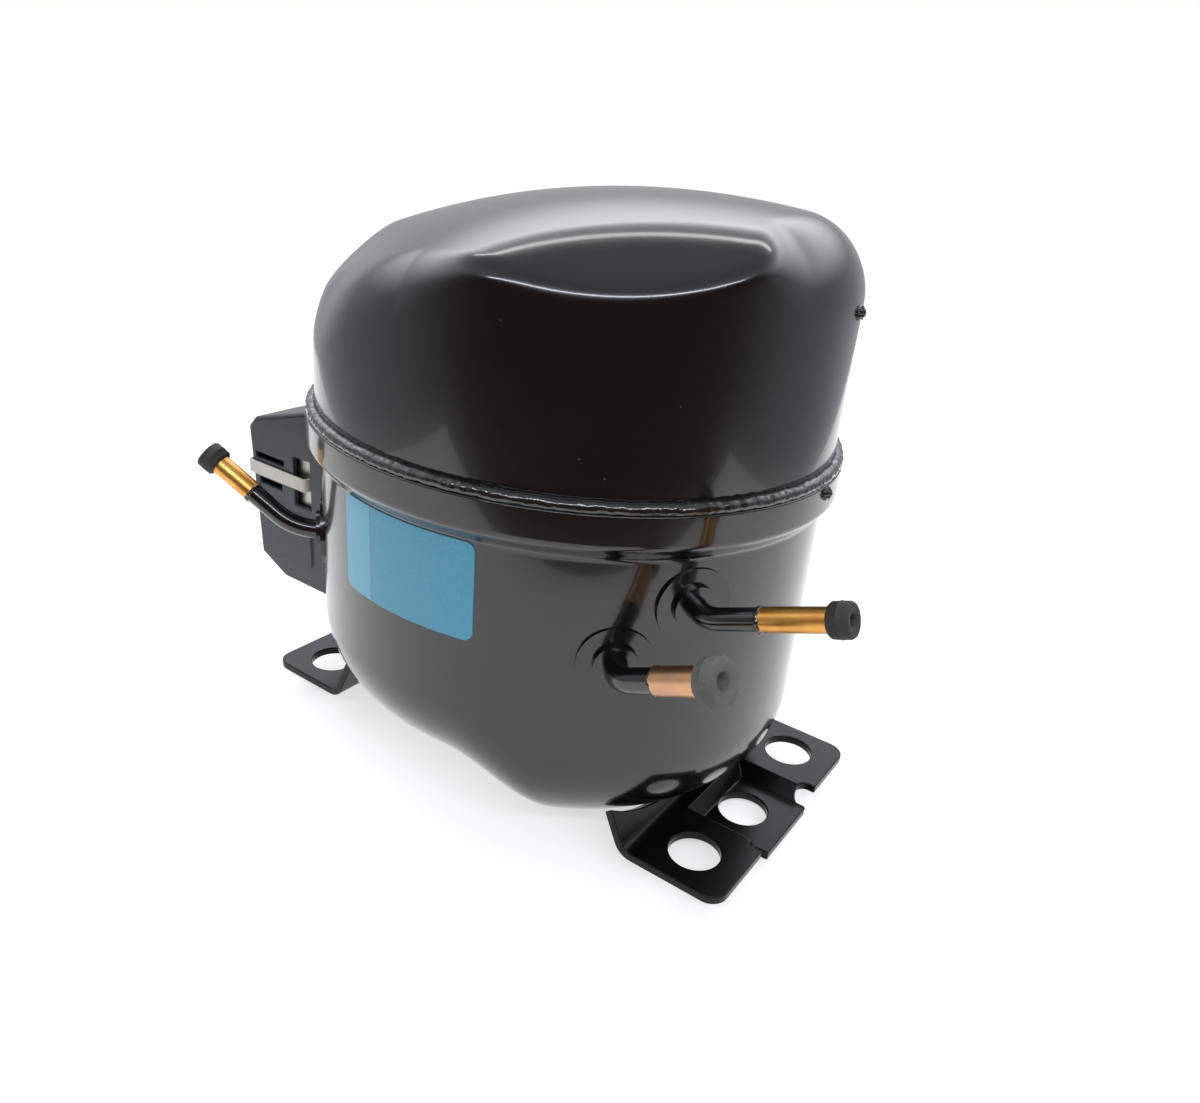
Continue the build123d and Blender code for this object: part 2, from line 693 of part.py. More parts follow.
with BuildPart() as rotor_cage:
    for low in (stack_bottom - cage_ring_height, stack_top):
        with BuildSketch(Plane.XY.offset(low)):
            with Locations((crank_x, 0)):
                Circle(cage_ring_outer)
                Circle(cage_ring_inner, mode=Mode.SUBTRACT)
        extrude(amount=cage_ring_height)
    with BuildSketch(Plane.XY.offset(stack_bottom)):
        with Locations((crank_x, 0)):
            with PolarLocations(cage_bar_circle, cage_bars):
                Circle(cage_bar_radius)
    extrude(amount=stack_height)
save(rotor_cage.part, "rotor_cage")

balance_gauge = 4.0
cage_bottom = stack_bottom - cage_ring_height
with BuildPart() as balance_weight:
    with BuildSketch(Plane.XY.offset(cage_bottom)):
        with Locations((crank_x, 0)):
            Circle(cage_ring_outer)
            Circle(cage_ring_inner, mode=Mode.SUBTRACT)
        with Locations((crank_x - cage_ring_outer, 0)):
            Rectangle(2 * cage_ring_outer, 2 * cage_ring_outer, mode=Mode.SUBTRACT)
    extrude(amount=-balance_gauge)
save(balance_weight.part, "balance_weight")

# ---- crankshaft with its web and eccentric pin, and the oil pickup in its foot --------------------
pickup_radius = 5.0
pickup_depth = 10.0
pickup_bottom = shallow_floor + sheet + 4.5
web_boss = crankpin_radius + 3.0
web_weight = big_end_radius + throw
with BuildPart() as crankshaft:
    with BuildSketch(Plane.XY.offset(stack_bottom - 4)):
        with Locations((crank_x, 0)):
            Circle(shaft_radius)
    extrude(amount=web_bottom - stack_bottom + 4)
    with BuildSketch(Plane.XY.offset(web_bottom)):
        with Locations((crank_x, 0)):
            Circle(shaft_radius + 5)
            Circle(web_weight)
        with Locations((crank_x + web_weight * 0.5 + throw * 0.2, 0)):
            Rectangle(web_weight, 3 * web_weight, mode=Mode.SUBTRACT)
        with Locations((crank_x, 0)):
            Circle(shaft_radius + 5)
        with Locations((crank_x + throw, 0)):
            Circle(web_boss)
    extrude(amount=web_height)
    with BuildSketch(Plane.XY.offset(web_top)):
        with Locations((crank_x + throw, 0)):
            Circle(crankpin_radius)
    extrude(amount=crankpin_top - web_top)
    with Locations((crank_x, 0, stack_bottom - 4)):
        Cylinder(pickup_radius + press_fit, 2 * pickup_depth, mode=Mode.SUBTRACT)
save(crankshaft.part, "crankshaft")

with BuildPart() as oil_pickup:
    with BuildSketch(Plane.XY.offset(pickup_bottom + 8)):
        with Locations((crank_x, 0)):
            Circle(pickup_radius)
    extrude(amount=stack_bottom - 4 + pickup_depth - pickup_bottom - 8)
    with BuildSketch(Plane.XY.offset(pickup_bottom + 8)):
        with Locations((crank_x, 0)):
            Circle(pickup_radius)
    extrude(amount=-8, taper=18)
    with Locations((crank_x, 0, pickup_bottom)):
        Cylinder(1.5, 200, mode=Mode.SUBTRACT)
save(oil_pickup.part, "oil_pickup")

with BuildPart() as thrust_washer:
    with BuildSketch(Plane.XY.offset(deck_top)):
        with Locations((crank_x, 0)):
            Circle(shaft_radius + 5)
            Circle(shaft_radius + running_fit, mode=Mode.SUBTRACT)
    extrude(amount=washer_height)
save(thrust_washer.part, "thrust_washer")

# ---- crankcase: deck on four legs, main bearing hub below, cylinder block on top ------------------
leg_place = (stator_side - leg_side) / 2
block_top = bore_z + bore_radius + cylinder_wall
with BuildPart() as crankcase:
    with BuildSketch(Plane.XY.offset(deck_bottom)):
        with Locations((crank_x, 0)):
            deck_face = Rectangle(deck_side, deck_side)
        chamfer(deck_face.vertices(), stator_cut)
    extrude(amount=deck)
    with BuildSketch(Plane.XY.offset(deck_bottom)):
        with Locations((crank_x, 0)):
            with GridLocations(2 * leg_place, 2 * leg_place, 2, 2):
                Rectangle(leg_side, leg_side)
            Rectangle(4 * stator_side, 2 * (stator_side / 2 - 1), mode=Mode.INTERSECT)
            with GridLocations(stator_side, stator_side, 2, 2):
                Rectangle(stator_cut * sqrt(2), stator_cut * sqrt(2), rotation=45, mode=Mode.SUBTRACT)
    extrude(amount=-leg_height)
    with BuildSketch(Plane.XY.offset(deck_bottom)):
        with Locations((crank_x, 0)):
            Circle(hub_radius)
    extrude(amount=-hub_drop)
    with BuildSketch(Plane.XY.offset(deck_top)):
        with Locations(((block_start + block_end) / 2, 0)):
            Rectangle(block_end - block_start, 2 * block_half_width)
    extrude(amount=block_top - deck_top)
    fillet([e for e in crankcase.edges().filter_by(Axis.X) if e.center().Z > block_top - 1], radius=6)
    with BuildSketch(Plane.YZ.offset(block_start - 5)):
        with Locations((0, bore_z)):
            Circle(bore_radius)
    extrude(amount=block_end, mode=Mode.SUBTRACT)
    with BuildSketch(Plane.XY.offset(deck_top)):
        with Locations((crank_x, 0)):
            Circle(shaft_radius + running_fit)
    extrude(amount=-deck - hub_drop, mode=Mode.SUBTRACT)
    with BuildSketch(Plane.XY.offset(deck_top)):
        with Locations((crank_x, 0)):
            with GridLocations(2 * bolt_place, 2 * bolt_place, 2, 2):
                Circle(screw_radius + running_fit)
    extrude(amount=-deck - leg_height, mode=Mode.SUBTRACT)
    with BuildSketch(Plane.YZ.offset(block_end)):
        with Locations((0, bore_z)):
            with GridLocations(2 * screw_offset_wide, 2 * screw_offset_high, 2, 2):
                Circle(screw_radius + running_fit)
    extrude(amount=-18, mode=Mode.SUBTRACT)
save(crankcase.part, "crankcase")

bolt_head = 3.5
with BuildPart() as stator_bolts:
    with Locations((crank_x, 0)):
        with GridLocations(2 * bolt_place, 2 * bolt_place, 2, 2):
            with Locations((0, 0, stack_bottom)):
                Cylinder(screw_radius, deck_bottom + deck * 0.8 - stack_bottom,
                         align=(Align.CENTER, Align.CENTER, Align.MIN))
                Cylinder(4.4, bolt_head, align=(Align.CENTER, Align.CENTER, Align.MAX))
save(stator_bolts.part, "stator_bolts")

# ---- piston, wrist pin, connecting rod and its big-end bush ---------------------------------------
piston_radius = bore_radius - 0.015
with BuildPart() as piston:
    with BuildSketch(Plane.YZ.offset(wrist_x - skirt)):
        with Locations((0, bore_z)):
            Circle(piston_radius)
    extrude(amount=skirt + pin_to_crown)
    chamfer(piston.edges().filter_by(GeomType.CIRCLE), length=0.4)
    with BuildSketch(Plane.YZ.offset(wrist_x - skirt)):
        with Locations((0, bore_z)):
            Circle(piston_radius - skirt_wall)
    extrude(amount=skirt + pin_to_crown - crown_thickness, mode=Mode.SUBTRACT)
    for way in (1, -1):
        with BuildSketch(Plane.XY.offset(bore_z + way * (small_end_height / 2 + 0.3))):
            with Locations((wrist_x, 0)):
                Circle(wrist_radius + 2.2)
        extrude(amount=way * (piston_radius - skirt_wall / 2 - small_end_height / 2 - 0.3) * 0.9)
    with Locations((wrist_x, 0, bore_z)):
        Cylinder(wrist_radius + press_fit, 4 * bore_radius, mode=Mode.SUBTRACT)
save(piston.part, "piston")

with BuildPart() as wrist_pin:
    with Locations((wrist_x, 0, bore_z)):
        Cylinder(wrist_radius, wrist_length)
        Cylinder(wrist_radius - 2.2, wrist_length, mode=Mode.SUBTRACT)
save(wrist_pin.part, "wrist_pin")

rod_x = crank_x + throw
bush_outer = crankpin_radius + running_fit + bush_wall
with BuildPart() as connecting_rod:
    with Locations((rod_x, 0, bore_z)):
        Cylinder(big_end_radius, rod_height)
    with Locations((wrist_x, 0, bore_z)):
        Cylinder(small_end_radius, small_end_height)
    with Locations(((rod_x + wrist_x) / 2, 0, bore_z)):
        Box(rod_length, shank_width, shank_height)
    with Locations((rod_x, 0, bore_z)):
        Cylinder(bush_outer + press_fit, 2 * rod_height, mode=Mode.SUBTRACT)
    with Locations((wrist_x, 0, bore_z)):
        Cylinder(wrist_radius + running_fit, 2 * rod_height, mode=Mode.SUBTRACT)
save(connecting_rod.part, "connecting_rod")

with BuildPart() as big_end_bush:
    with Locations((rod_x, 0, bore_z)):
        Cylinder(bush_outer, rod_height)
        Cylinder(crankpin_radius + running_fit, rod_height, mode=Mode.SUBTRACT)
save(big_end_bush.part, "big_end_bush")


# ---- head stack: gaskets, reeds, valve plate and head on the cylinder's end ------------------------
def head_layer(start, gauge, half_high=20.0):
    """Plate across the cylinder's end with its four screw holes."""
    with BuildPart() as layer:
        with BuildSketch(Plane.YZ.offset(start)):
            with Locations((0, bore_z)):
                RectangleRounded(2 * block_half_width, 2 * half_high, 4)
                with GridLocations(2 * screw_offset_wide, 2 * screw_offset_high, 2, 2):
                    Circle(screw_radius + 0.15, mode=Mode.SUBTRACT)
        extrude(amount=gauge)
    return layer.part


suction_port_y = -6.0
discharge_port_y = 5.5
port_radius = 2.6
gasket_x = block_end
reed_x = gasket_x + gasket
plate_x = reed_x + reed_gauge
head_gasket_x = plate_x + valve_plate_gauge
head_x = head_gasket_x + gasket
recess = 2.4
reed_width = 7.0
reed_length = 20.0

with BuildPart() as cylinder_gasket:
    add(head_layer(gasket_x, gasket))
    with BuildSketch(Plane.YZ.offset(gasket_x)):
        with Locations((0, bore_z)):
            Circle(bore_radius + 0.5)
    extrude(amount=gasket, mode=Mode.SUBTRACT)
save(cylinder_gasket.part, "cylinder_gasket")

with BuildPart() as suction_reed:
    add(head_layer(reed_x, reed_gauge))
    with BuildSketch(Plane.YZ.offset(reed_x)):
        with Locations((0, bore_z)):
            Circle(bore_radius - 1.0)
        with Locations((suction_port_y, bore_z + 2)):
            Rectangle(reed_width, 2 * bore_radius, mode=Mode.SUBTRACT)
        with Locations((suction_port_y, bore_z - bore_radius)):
            Rectangle(reed_width + 1.5, bore_radius - 3, mode=Mode.ADD)
    extrude(amount=reed_gauge, mode=Mode.SUBTRACT)
save(max(suction_reed.part.solids(), key=lambda solid: solid.volume), "suction_reed")

with BuildPart() as valve_plate:
    add(head_layer(plate_x, valve_plate_gauge))
    with BuildSketch(Plane.YZ.offset(plate_x)):
        with Locations((suction_port_y, bore_z), (discharge_port_y, bore_z)):
            Circle(port_radius)
    extrude(amount=valve_plate_gauge, mode=Mode.SUBTRACT)
    with BuildSketch(Plane.YZ.offset(head_gasket_x)):
        with Locations((discharge_port_y, bore_z - 3)):
            RectangleRounded(reed_width + 1.6, reed_length + 7, 2)
    extrude(amount=-recess, mode=Mode.SUBTRACT)
save(valve_plate.part, "valve_plate")

reed_seat_x = head_gasket_x - recess
reed_root_z = bore_z - 3 - (reed_length + 7) / 2 + 1.0
reed_flap_z = reed_root_z + 4.5
reed_tip_z = bore_z + 4.2
with BuildPart() as discharge_reed:
    with BuildSketch(Plane.YZ.offset(reed_seat_x + 0.05)):
        with Locations((discharge_port_y, (reed_flap_z + reed_tip_z) / 2)):
            RectangleRounded(reed_width, reed_tip_z - reed_flap_z, 2)
    extrude(amount=reed_gauge)
save(discharge_reed.part, "discharge_reed")

stop_lift = 1.5
with BuildPart() as reed_stop:
    with BuildSketch(Plane.XZ.offset(-discharge_port_y)):
        with BuildLine():
            Polyline((reed_seat_x, reed_root_z), (reed_seat_x + 0.5, reed_root_z),
                     (reed_seat_x + 0.9, reed_flap_z + 1.0), (reed_seat_x + stop_lift + 0.7, reed_tip_z),
                     (reed_seat_x + stop_lift, reed_tip_z), (reed_seat_x + 0.5, reed_flap_z - 0.4),
                     (reed_seat_x, reed_flap_z - 0.4), close=True)
        make_face()
    extrude(amount=reed_width / 2 - 0.4, both=True)
save(reed_stop.part, "reed_stop")

with BuildPart() as head_gasket:
    add(head_layer(head_gasket_x, gasket))
    with BuildSketch(Plane.YZ.offset(head_gasket_x)):
        with Locations((suction_port_y - 1.5, bore_z)):
            RectangleRounded(9.5, 24, 2)
        with Locations((discharge_port_y + 1, bore_z)):
            RectangleRounded(12, 30, 2)
    extrude(amount=gasket, mode=Mode.SUBTRACT)
save(head_gasket.part, "head_gasket")

with BuildPart() as cylinder_head:
    add(head_layer(head_x, head_depth))
    with BuildSketch(Plane.YZ.offset(head_x)):
        with Locations((suction_port_y - 1.5, bore_z)):
            RectangleRounded(9.5, 24, 2)
        with Locations((discharge_port_y + 1, bore_z)):
            RectangleRounded(12, 30, 2)
    extrude(amount=head_depth - 3.5, mode=Mode.SUBTRACT)
    fillet(cylinder_head.faces().sort_by(Axis.X)[-1].outer_wire().edges(), radius=2.5)
    with BuildSketch(Plane.XZ.offset(-block_half_width - 1)):
        with Locations((head_x + 6.0, bore_z)):
            Circle(2.6)
    extrude(amount=2 * block_half_width + 2, mode=Mode.SUBTRACT)
save(cylinder_head.part, "cylinder_head")

head_screw_length = 26.0
with BuildPart() as head_screws:
    with BuildSketch(Plane.YZ.offset(head_x + head_depth)):
        with Locations((0, bore_z)):
            with GridLocations(2 * screw_offset_wide, 2 * screw_offset_high, 2, 2):
                Circle(screw_radius)
    extrude(amount=-head_screw_length)
    with BuildSketch(Plane.YZ.offset(head_x + head_depth)):
        with Locations((0, bore_z)):
            with GridLocations(2 * screw_offset_wide, 2 * screw_offset_high, 2, 2):
                Circle(4.2)
    extrude(amount=3.4)
    with BuildSketch(Plane.YZ.offset(head_x + head_depth + 3.4)):
        with Locations((0, bore_z)):
            with GridLocations(2 * screw_offset_wide, 2 * screw_offset_high, 2, 2):
                RegularPolygon(2.2, 6)
    extrude(amount=-2.2, mode=Mode.SUBTRACT)
save(head_screws.part, "head_screws")

# ---- mufflers on the suction and discharge sides of the block --------------------------------------
port_x = head_x + 6.0
suction_box_x = 41.0
suction_box_long = 26.0
suction_box_wide = 26.0
suction_box_high = 36.0
with BuildPart() as suction_muffler:
    with BuildSketch(Plane.XY.offset(bore_z - suction_box_high / 2 + 2)):
        with Locations((suction_box_x, -block_half_width - 0.05 - suction_box_wide / 2)):
            RectangleRounded(suction_box_long, suction_box_wide, 5)
    extrude(amount=suction_box_high)
    fillet(suction_muffler.faces().sort_by(Axis.Z)[-1].edges(), radius=3)
    fillet(suction_muffler.faces().sort_by(Axis.Z)[0].edges(), radius=3)
    box_top = bore_z + suction_box_high / 2 + 2
    with BuildSketch(Plane.XY.offset(box_top - suction_box_high + 1.8)):
        with Locations((suction_box_x, -block_half_width - 0.05 - suction_box_wide / 2)):
            RectangleRounded(suction_box_long - 3.6, suction_box_wide - 3.6, 3.2)
    extrude(amount=suction_box_high - 3.6, mode=Mode.SUBTRACT)
    with BuildSketch(Plane.YZ.offset(suction_box_x + suction_box_long / 2 - 1)):
        with Locations((-block_half_width - 6.5, bore_z)):
            Rectangle(9, 10)
    extrude(amount=port_x + 4 - suction_box_x - suction_box_long / 2 + 1)
    with BuildSketch(Plane.XZ.offset(block_half_width + 0.05)):
        with Locations((port_x, bore_z)):
            Rectangle(8, 10)
    extrude(amount=4)
    with BuildSketch(Plane.XZ.offset(block_half_width + suction_box_wide - 1)):
        with Locations((suction_box_x + 4, bore_z - 6)):
            Circle(5)
    extrude(amount=5)
    with BuildSketch(Plane.XZ.offset(block_half_width + suction_box_wide + 4.1)):
        with Locations((suction_box_x + 4, bore_z - 6)):
            Circle(3.6)
    extrude(amount=-8, mode=Mode.SUBTRACT)
save(suction_muffler.part, "suction_muffler")

can_x = 37.0
can_y = 38.0
can_radius = 12.0
can_height = 30.0
link_radius = 2.4
with BuildPart() as discharge_muffler:
    with BuildSketch(Plane.XY.offset(deck_top)):
        with Locations((can_x, can_y)):
            Circle(can_radius)
    extrude(amount=can_height)
    fillet(discharge_muffler.faces().sort_by(Axis.Z)[-1].edges(), radius=4)
    with BuildSketch(Plane.XY.offset(deck_top + 2)):
        with Locations((can_x, can_y)):
            Circle(can_radius - 2)
    extrude(amount=can_height - 6, mode=Mode.SUBTRACT)
    with BuildLine():
        link = FilletPolyline((port_x, block_half_width + 0.05, bore_z), (port_x, can_y, bore_z),
                              (can_x + can_radius - 1, can_y, bore_z), radius=6)
    with BuildSketch(Plane(origin=link @ 0, z_dir=link % 0)):
        Circle(link_radius)
    sweep()
save(discharge_muffler.part, "discharge_muffler")

# long steel loop that lets the pump move on its springs while it stays joined to the shell's tube
out = routes["discharge"]
loop_radius = 2.2
corner = out["start"] - out["normal"] * 4.6
loop_start = out["start"] + out["normal"] * 2
with BuildPart() as discharge_loop:
    with BuildLine():
        FilletPolyline(loop_start, corner, (corner.X, corner.Y, bore_z), (-62, 0, bore_z),
                       (-48, 50, bore_z), (2, 56, bore_z), (13, can_y, bore_z),
                       (can_x - can_radius - 0.05, can_y, bore_z), radius=(4.0, 12.0, 20.0, 18.0, 8.0, 6.0))
    with BuildSketch(Plane(origin=loop_start, z_dir=out["normal"] * -1)):
        Circle(loop_radius)
        Circle(loop_radius - 0.7, mode=Mode.SUBTRACT)
    sweep()
save(discharge_loop.part, "discharge_loop")

# ---- suspension: seats on the shell's floor, springs, and caps under the stator bolts ---------------
spring_top = stack_bottom - spring_cap
seat_radius = spring_mean + spring_wire / 2 + 1.4
with BuildPart() as lower_spring_seats:
    with Locations((crank_x, 0)):
        with GridLocations(2 * bolt_place, 2 * bolt_place, 2, 2):
            Cylinder(seat_radius, spring_bottom, align=(Align.CENTER, Align.CENTER, Align.MIN))
    add(lower_inside, mode=Mode.INTERSECT)
    with Locations((crank_x, 0)):
        with GridLocations(2 * bolt_place, 2 * bolt_place, 2, 2):
            with Locations((0, 0, spring_bottom - 1)):
                Cylinder(spring_stem, stem_reach + 1, align=(Align.CENTER, Align.CENTER, Align.MIN))
save(lower_spring_seats.part, "lower_spring_seats")

with BuildPart() as upper_spring_caps:
    with Locations((crank_x, 0)):
        with GridLocations(2 * bolt_place, 2 * bolt_place, 2, 2):
            with Locations((0, 0, spring_top)):
                Cylinder(seat_radius - 0.8, spring_cap, align=(Align.CENTER, Align.CENTER, Align.MIN))
                Cylinder(spring_stem, stem_reach, align=(Align.CENTER, Align.CENTER, Align.MAX))
            with Locations((0, 0, stack_bottom)):
                Cylinder(4.5, bolt_head + 0.1, align=(Align.CENTER, Align.CENTER, Align.MAX),
                         mode=Mode.SUBTRACT)
save(upper_spring_caps.part, "upper_spring_caps")

coil_height = spring_top - spring_bottom - spring_wire
with BuildPart() as suspension_springs:
    for way_x in (1, -1):
        for way_y in (1, -1):
            centre = (crank_x + way_x * bolt_place, way_y * bolt_place, spring_bottom + spring_wire / 2)
            with BuildLine():
                coil = Helix(pitch=coil_height / spring_turns, height=coil_height,
                             radius=spring_mean, center=centre)
            with BuildSketch(Plane(origin=coil @ 0, z_dir=coil % 0)):
                Circle(spring_wire / 2)
            sweep(path=coil, is_frenet=True)
save(suspension_springs.part, "suspension_springs")

# ---- leads: cluster plug on the terminal's inner pins and three wires to the end turns --------------
plug_face = terminal_x + terminal_depth - 3 + 0.1
with BuildPart() as cluster_plug:
    with BuildSketch(Plane.YZ.offset(plug_face)):
        with Locations((0, terminal_z)):
            RectangleRounded(19, 19, 4)
    extrude(amount=11)
    fillet(cluster_plug.faces().sort_by(Axis.X)[-1].edges(), radius=1.5)
    with BuildSketch(Plane.YZ.offset(plug_face)):
        with Locations(*[(y, terminal_z + z) for y, z in pin_places]):
            Circle(terminal_pin + 0.05)
    extrude(amount=8, mode=Mode.SUBTRACT)
save(cluster_plug.part, "cluster_plug")

lead_radius = 1.1
lead_drop_x = (plug_face + 11 + crank_x - stator_side / 2) / 2
lead_z = stack_top + end_turn_height / 2
with BuildPart() as motor_leads:
    for y in (-5.0, 0.0, 5.0):
        tip = crank_x - sqrt(end_turn_outer ** 2 - y ** 2) - 0.2
        with BuildLine():
            wire = FilletPolyline((plug_face + 11, y, terminal_z), (lead_drop_x, y, terminal_z),
                                  (lead_drop_x, y, lead_z), (tip, y, lead_z), radius=5)
        with BuildSketch(Plane(origin=wire @ 0, z_dir=wire % 0)):
            Circle(lead_radius)
        sweep(path=wire)
save(motor_leads.part, "motor_leads")
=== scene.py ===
import math

import bmesh
import bpy
import numpy as np
from mathutils import Matrix, Vector


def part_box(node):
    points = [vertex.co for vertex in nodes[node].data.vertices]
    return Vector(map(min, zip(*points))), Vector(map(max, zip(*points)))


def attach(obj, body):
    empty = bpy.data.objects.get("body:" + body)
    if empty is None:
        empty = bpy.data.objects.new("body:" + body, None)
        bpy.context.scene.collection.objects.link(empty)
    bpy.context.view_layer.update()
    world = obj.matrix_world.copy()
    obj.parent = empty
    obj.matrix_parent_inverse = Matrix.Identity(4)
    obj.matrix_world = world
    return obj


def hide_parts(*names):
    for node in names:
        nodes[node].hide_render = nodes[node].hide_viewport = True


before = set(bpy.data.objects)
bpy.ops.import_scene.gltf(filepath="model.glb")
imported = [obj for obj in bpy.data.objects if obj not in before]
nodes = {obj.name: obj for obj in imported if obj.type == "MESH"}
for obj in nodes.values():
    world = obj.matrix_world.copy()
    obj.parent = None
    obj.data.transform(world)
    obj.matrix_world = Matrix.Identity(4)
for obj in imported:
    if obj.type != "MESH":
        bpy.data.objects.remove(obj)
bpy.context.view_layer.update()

# ---- Camera ------------------------------------------------------------------------------------
# A short lens held close, above and to the right of the tube side, with a slight roll.
camera = bpy.data.objects.new("camera", bpy.data.cameras.new("camera"))
bpy.context.collection.objects.link(camera)
camera.data.sensor_width = 36.0
camera.data.lens = 28.72
camera.data.clip_start = 0.01
look_right = Vector((0.814, 0.574, 0.083))
look_forward = Vector((-0.494, 0.761, -0.421)).normalized()
look_right = (look_right - look_forward * look_right.dot(look_forward)).normalized()
look_up = look_right.cross(look_forward)
camera.matrix_world = Matrix.Translation((0.182134, -0.255904, 0.215163)) @ Matrix((
    look_right, look_up, -look_forward)).transposed().to_4x4()
bpy.context.scene.camera = camera
bpy.context.scene.view_settings.view_transform = "Standard"


# ---- Floor and light ---------------------------------------------------------------------------
# A white table top that ends a little way in front of the object, in a bright room that is
# darker on the side of the person standing at the table. Windows and softboxes give the streaks.
def linear(hex_colour):
    """An sRGB hex colour as linear RGBA."""
    parts = [int(hex_colour[i:i + 2], 16) / 255 for i in (1, 3, 5)]
    return [c / 12.92 if c <= 0.04045 else ((c + 0.055) / 1.055) ** 2.4 for c in parts] + [1.0]


def put(tree, kind, settings=None, values=None, links=None):
    """Adds a node with its settings, its input values and its links."""
    node = tree.nodes.new(kind)
    for name, value in (settings or {}).items():
        setattr(node, name, value)
    for name, value in (values or {}).items():
        node.inputs[name].default_value = value
    for name, source in (links or {}).items():
        tree.links.new(source, node.inputs[name])
    return node


def new_material(name):
    """A named material with an empty tree and its output node."""
    material = bpy.data.materials.new(name)
    material.use_nodes = True
    material.node_tree.nodes.clear()
    return material, material.node_tree, put(material.node_tree, "ShaderNodeOutputMaterial")


def mesh_piece(name, points, faces, smooth=True):
    """A mesh object from points in metres and its faces."""
    mesh = bpy.data.meshes.new(name)
    mesh.from_pydata([tuple(p) for p in points], [], faces)
    mesh.validate()
    mesh.polygons.foreach_set("use_smooth", [smooth] * len(mesh.polygons))
    piece = bpy.data.objects.new(name, mesh)
    bpy.context.collection.objects.link(piece)
    return piece


toward = Vector((0.58, -0.815, 0.0))
aside = Vector((0.815, 0.58, 0.0))
table_near = 0.30
table_far = 1.6
table_half = 0.42
ground = -0.0084
corners = [toward * table_near + aside * table_half, toward * table_near - aside * table_half,
           toward * -table_far - aside * table_half, toward * -table_far + aside * table_half]
table = mesh_piece("table_top", [(c.x, c.y, ground) for c in reversed(corners)], [(0, 1, 2, 3)], False)
table_paint, tree, out = new_material("white_table_paint")
path = put(tree, "ShaderNodeLightPath")
seen = put(tree, "ShaderNodeMath", {"operation": "MAXIMUM"},
           links={0: path.outputs["Is Camera Ray"], 1: path.outputs["Is Glossy Ray"]})
seen = put(tree, "ShaderNodeMath", {"operation": "MAXIMUM"},
           links={0: seen.outputs[0], 1: path.outputs["Is Transmission Ray"]})
base = put(tree, "ShaderNodeBsdfDiffuse", values={"Color": linear("#d2d2d0")})
glow = put(tree, "ShaderNodeEmission", values={"Color": (1, 1, 1, 1)},
           links={"Strength": put(tree, "ShaderNodeMath", {"operation": "MULTIPLY"}, {1: 0.6},
                                  {0: seen.outputs[0]}).outputs[0]})
tree.links.new(put(tree, "ShaderNodeAddShader",
                   links={0: base.outputs[0], 1: glow.outputs[0]}).outputs[0],
               out.inputs["Surface"])
table.data.materials.append(table_paint)

room = bpy.data.worlds.new("room")
bpy.context.scene.world = room
room.use_nodes = True
tree = room.node_tree
tree.nodes.clear()
heading = put(tree, "ShaderNodeTexCoord").outputs["Generated"]
facing = put(tree, "ShaderNodeVectorMath", {"operation": "DOT_PRODUCT"}, {1: toward}, {0: heading})
height = put(tree, "ShaderNodeSeparateXYZ", links={0: heading}).outputs["Z"]
near_side = put(tree, "ShaderNodeMapRange", {"interpolation_type": "SMOOTHSTEP"},
                {"From Min": 0.1, "From Max": 0.75}, {"Value": facing.outputs["Value"]})
low_down = put(tree, "ShaderNodeMapRange", {"interpolation_type": "SMOOTHSTEP"},
               {"From Min": 0.4, "From Max": 0.85, "To Min": 1.0, "To Max": 0.0}, {"Value": height})
shade = put(tree, "ShaderNodeMath", {"operation": "MULTIPLY"},
            links={0: near_side.outputs[0], 1: low_down.outputs[0]})
far_side = put(tree, "ShaderNodeMapRange", {"interpolation_type": "SMOOTHSTEP"},
               {"From Min": -0.95, "From Max": 0.45, "To Min": 2.7, "To Max": 0.9},
               {"Value": facing.outputs["Value"]})
from_horizon = put(tree, "ShaderNodeMapRange", {"interpolation_type": "SMOOTHSTEP"},
                   {"From Min": 0.2, "From Max": 0.55}, {"Value": height})
to_zenith = put(tree, "ShaderNodeMapRange", {"interpolation_type": "SMOOTHSTEP"},
                {"From Min": 0.55, "From Max": 0.95, "To Min": 1.0, "To Max": 0.0}, {"Value": height})
band = put(tree, "ShaderNodeMath", {"operation": "MULTIPLY"},
           links={0: from_horizon.outputs[0], 1: to_zenith.outputs[0]})
level = put(tree, "ShaderNodeMix", {"data_type": "FLOAT"}, {2: 0.5},
            {0: band.outputs[0], 3: far_side.outputs[0]})
bright = put(tree, "ShaderNodeVectorMath", {"operation": "SCALE"}, {0: (0.97, 0.99, 1.02)},
             {"Scale": level.outputs[0]})
walls = put(tree, "ShaderNodeMix", {"data_type": "RGBA"}, {7: linear("#5e4e46")},
            {0: shade.outputs[0], 6: bright.outputs[0]})
dim = put(tree, "ShaderNodeBackground", values={"Strength": 1.0}, links={"Color": walls.outputs[2]})
white = put(tree, "ShaderNodeBackground", values={"Color": (1, 1, 1, 1), "Strength": 1.0})
path = put(tree, "ShaderNodeLightPath")
mixed = put(tree, "ShaderNodeMixShader",
            links={0: path.outputs["Is Camera Ray"], 1: dim.outputs[0], 2: white.outputs[0]})
put(tree, "ShaderNodeOutputWorld", links={"Surface": mixed.outputs[0]})


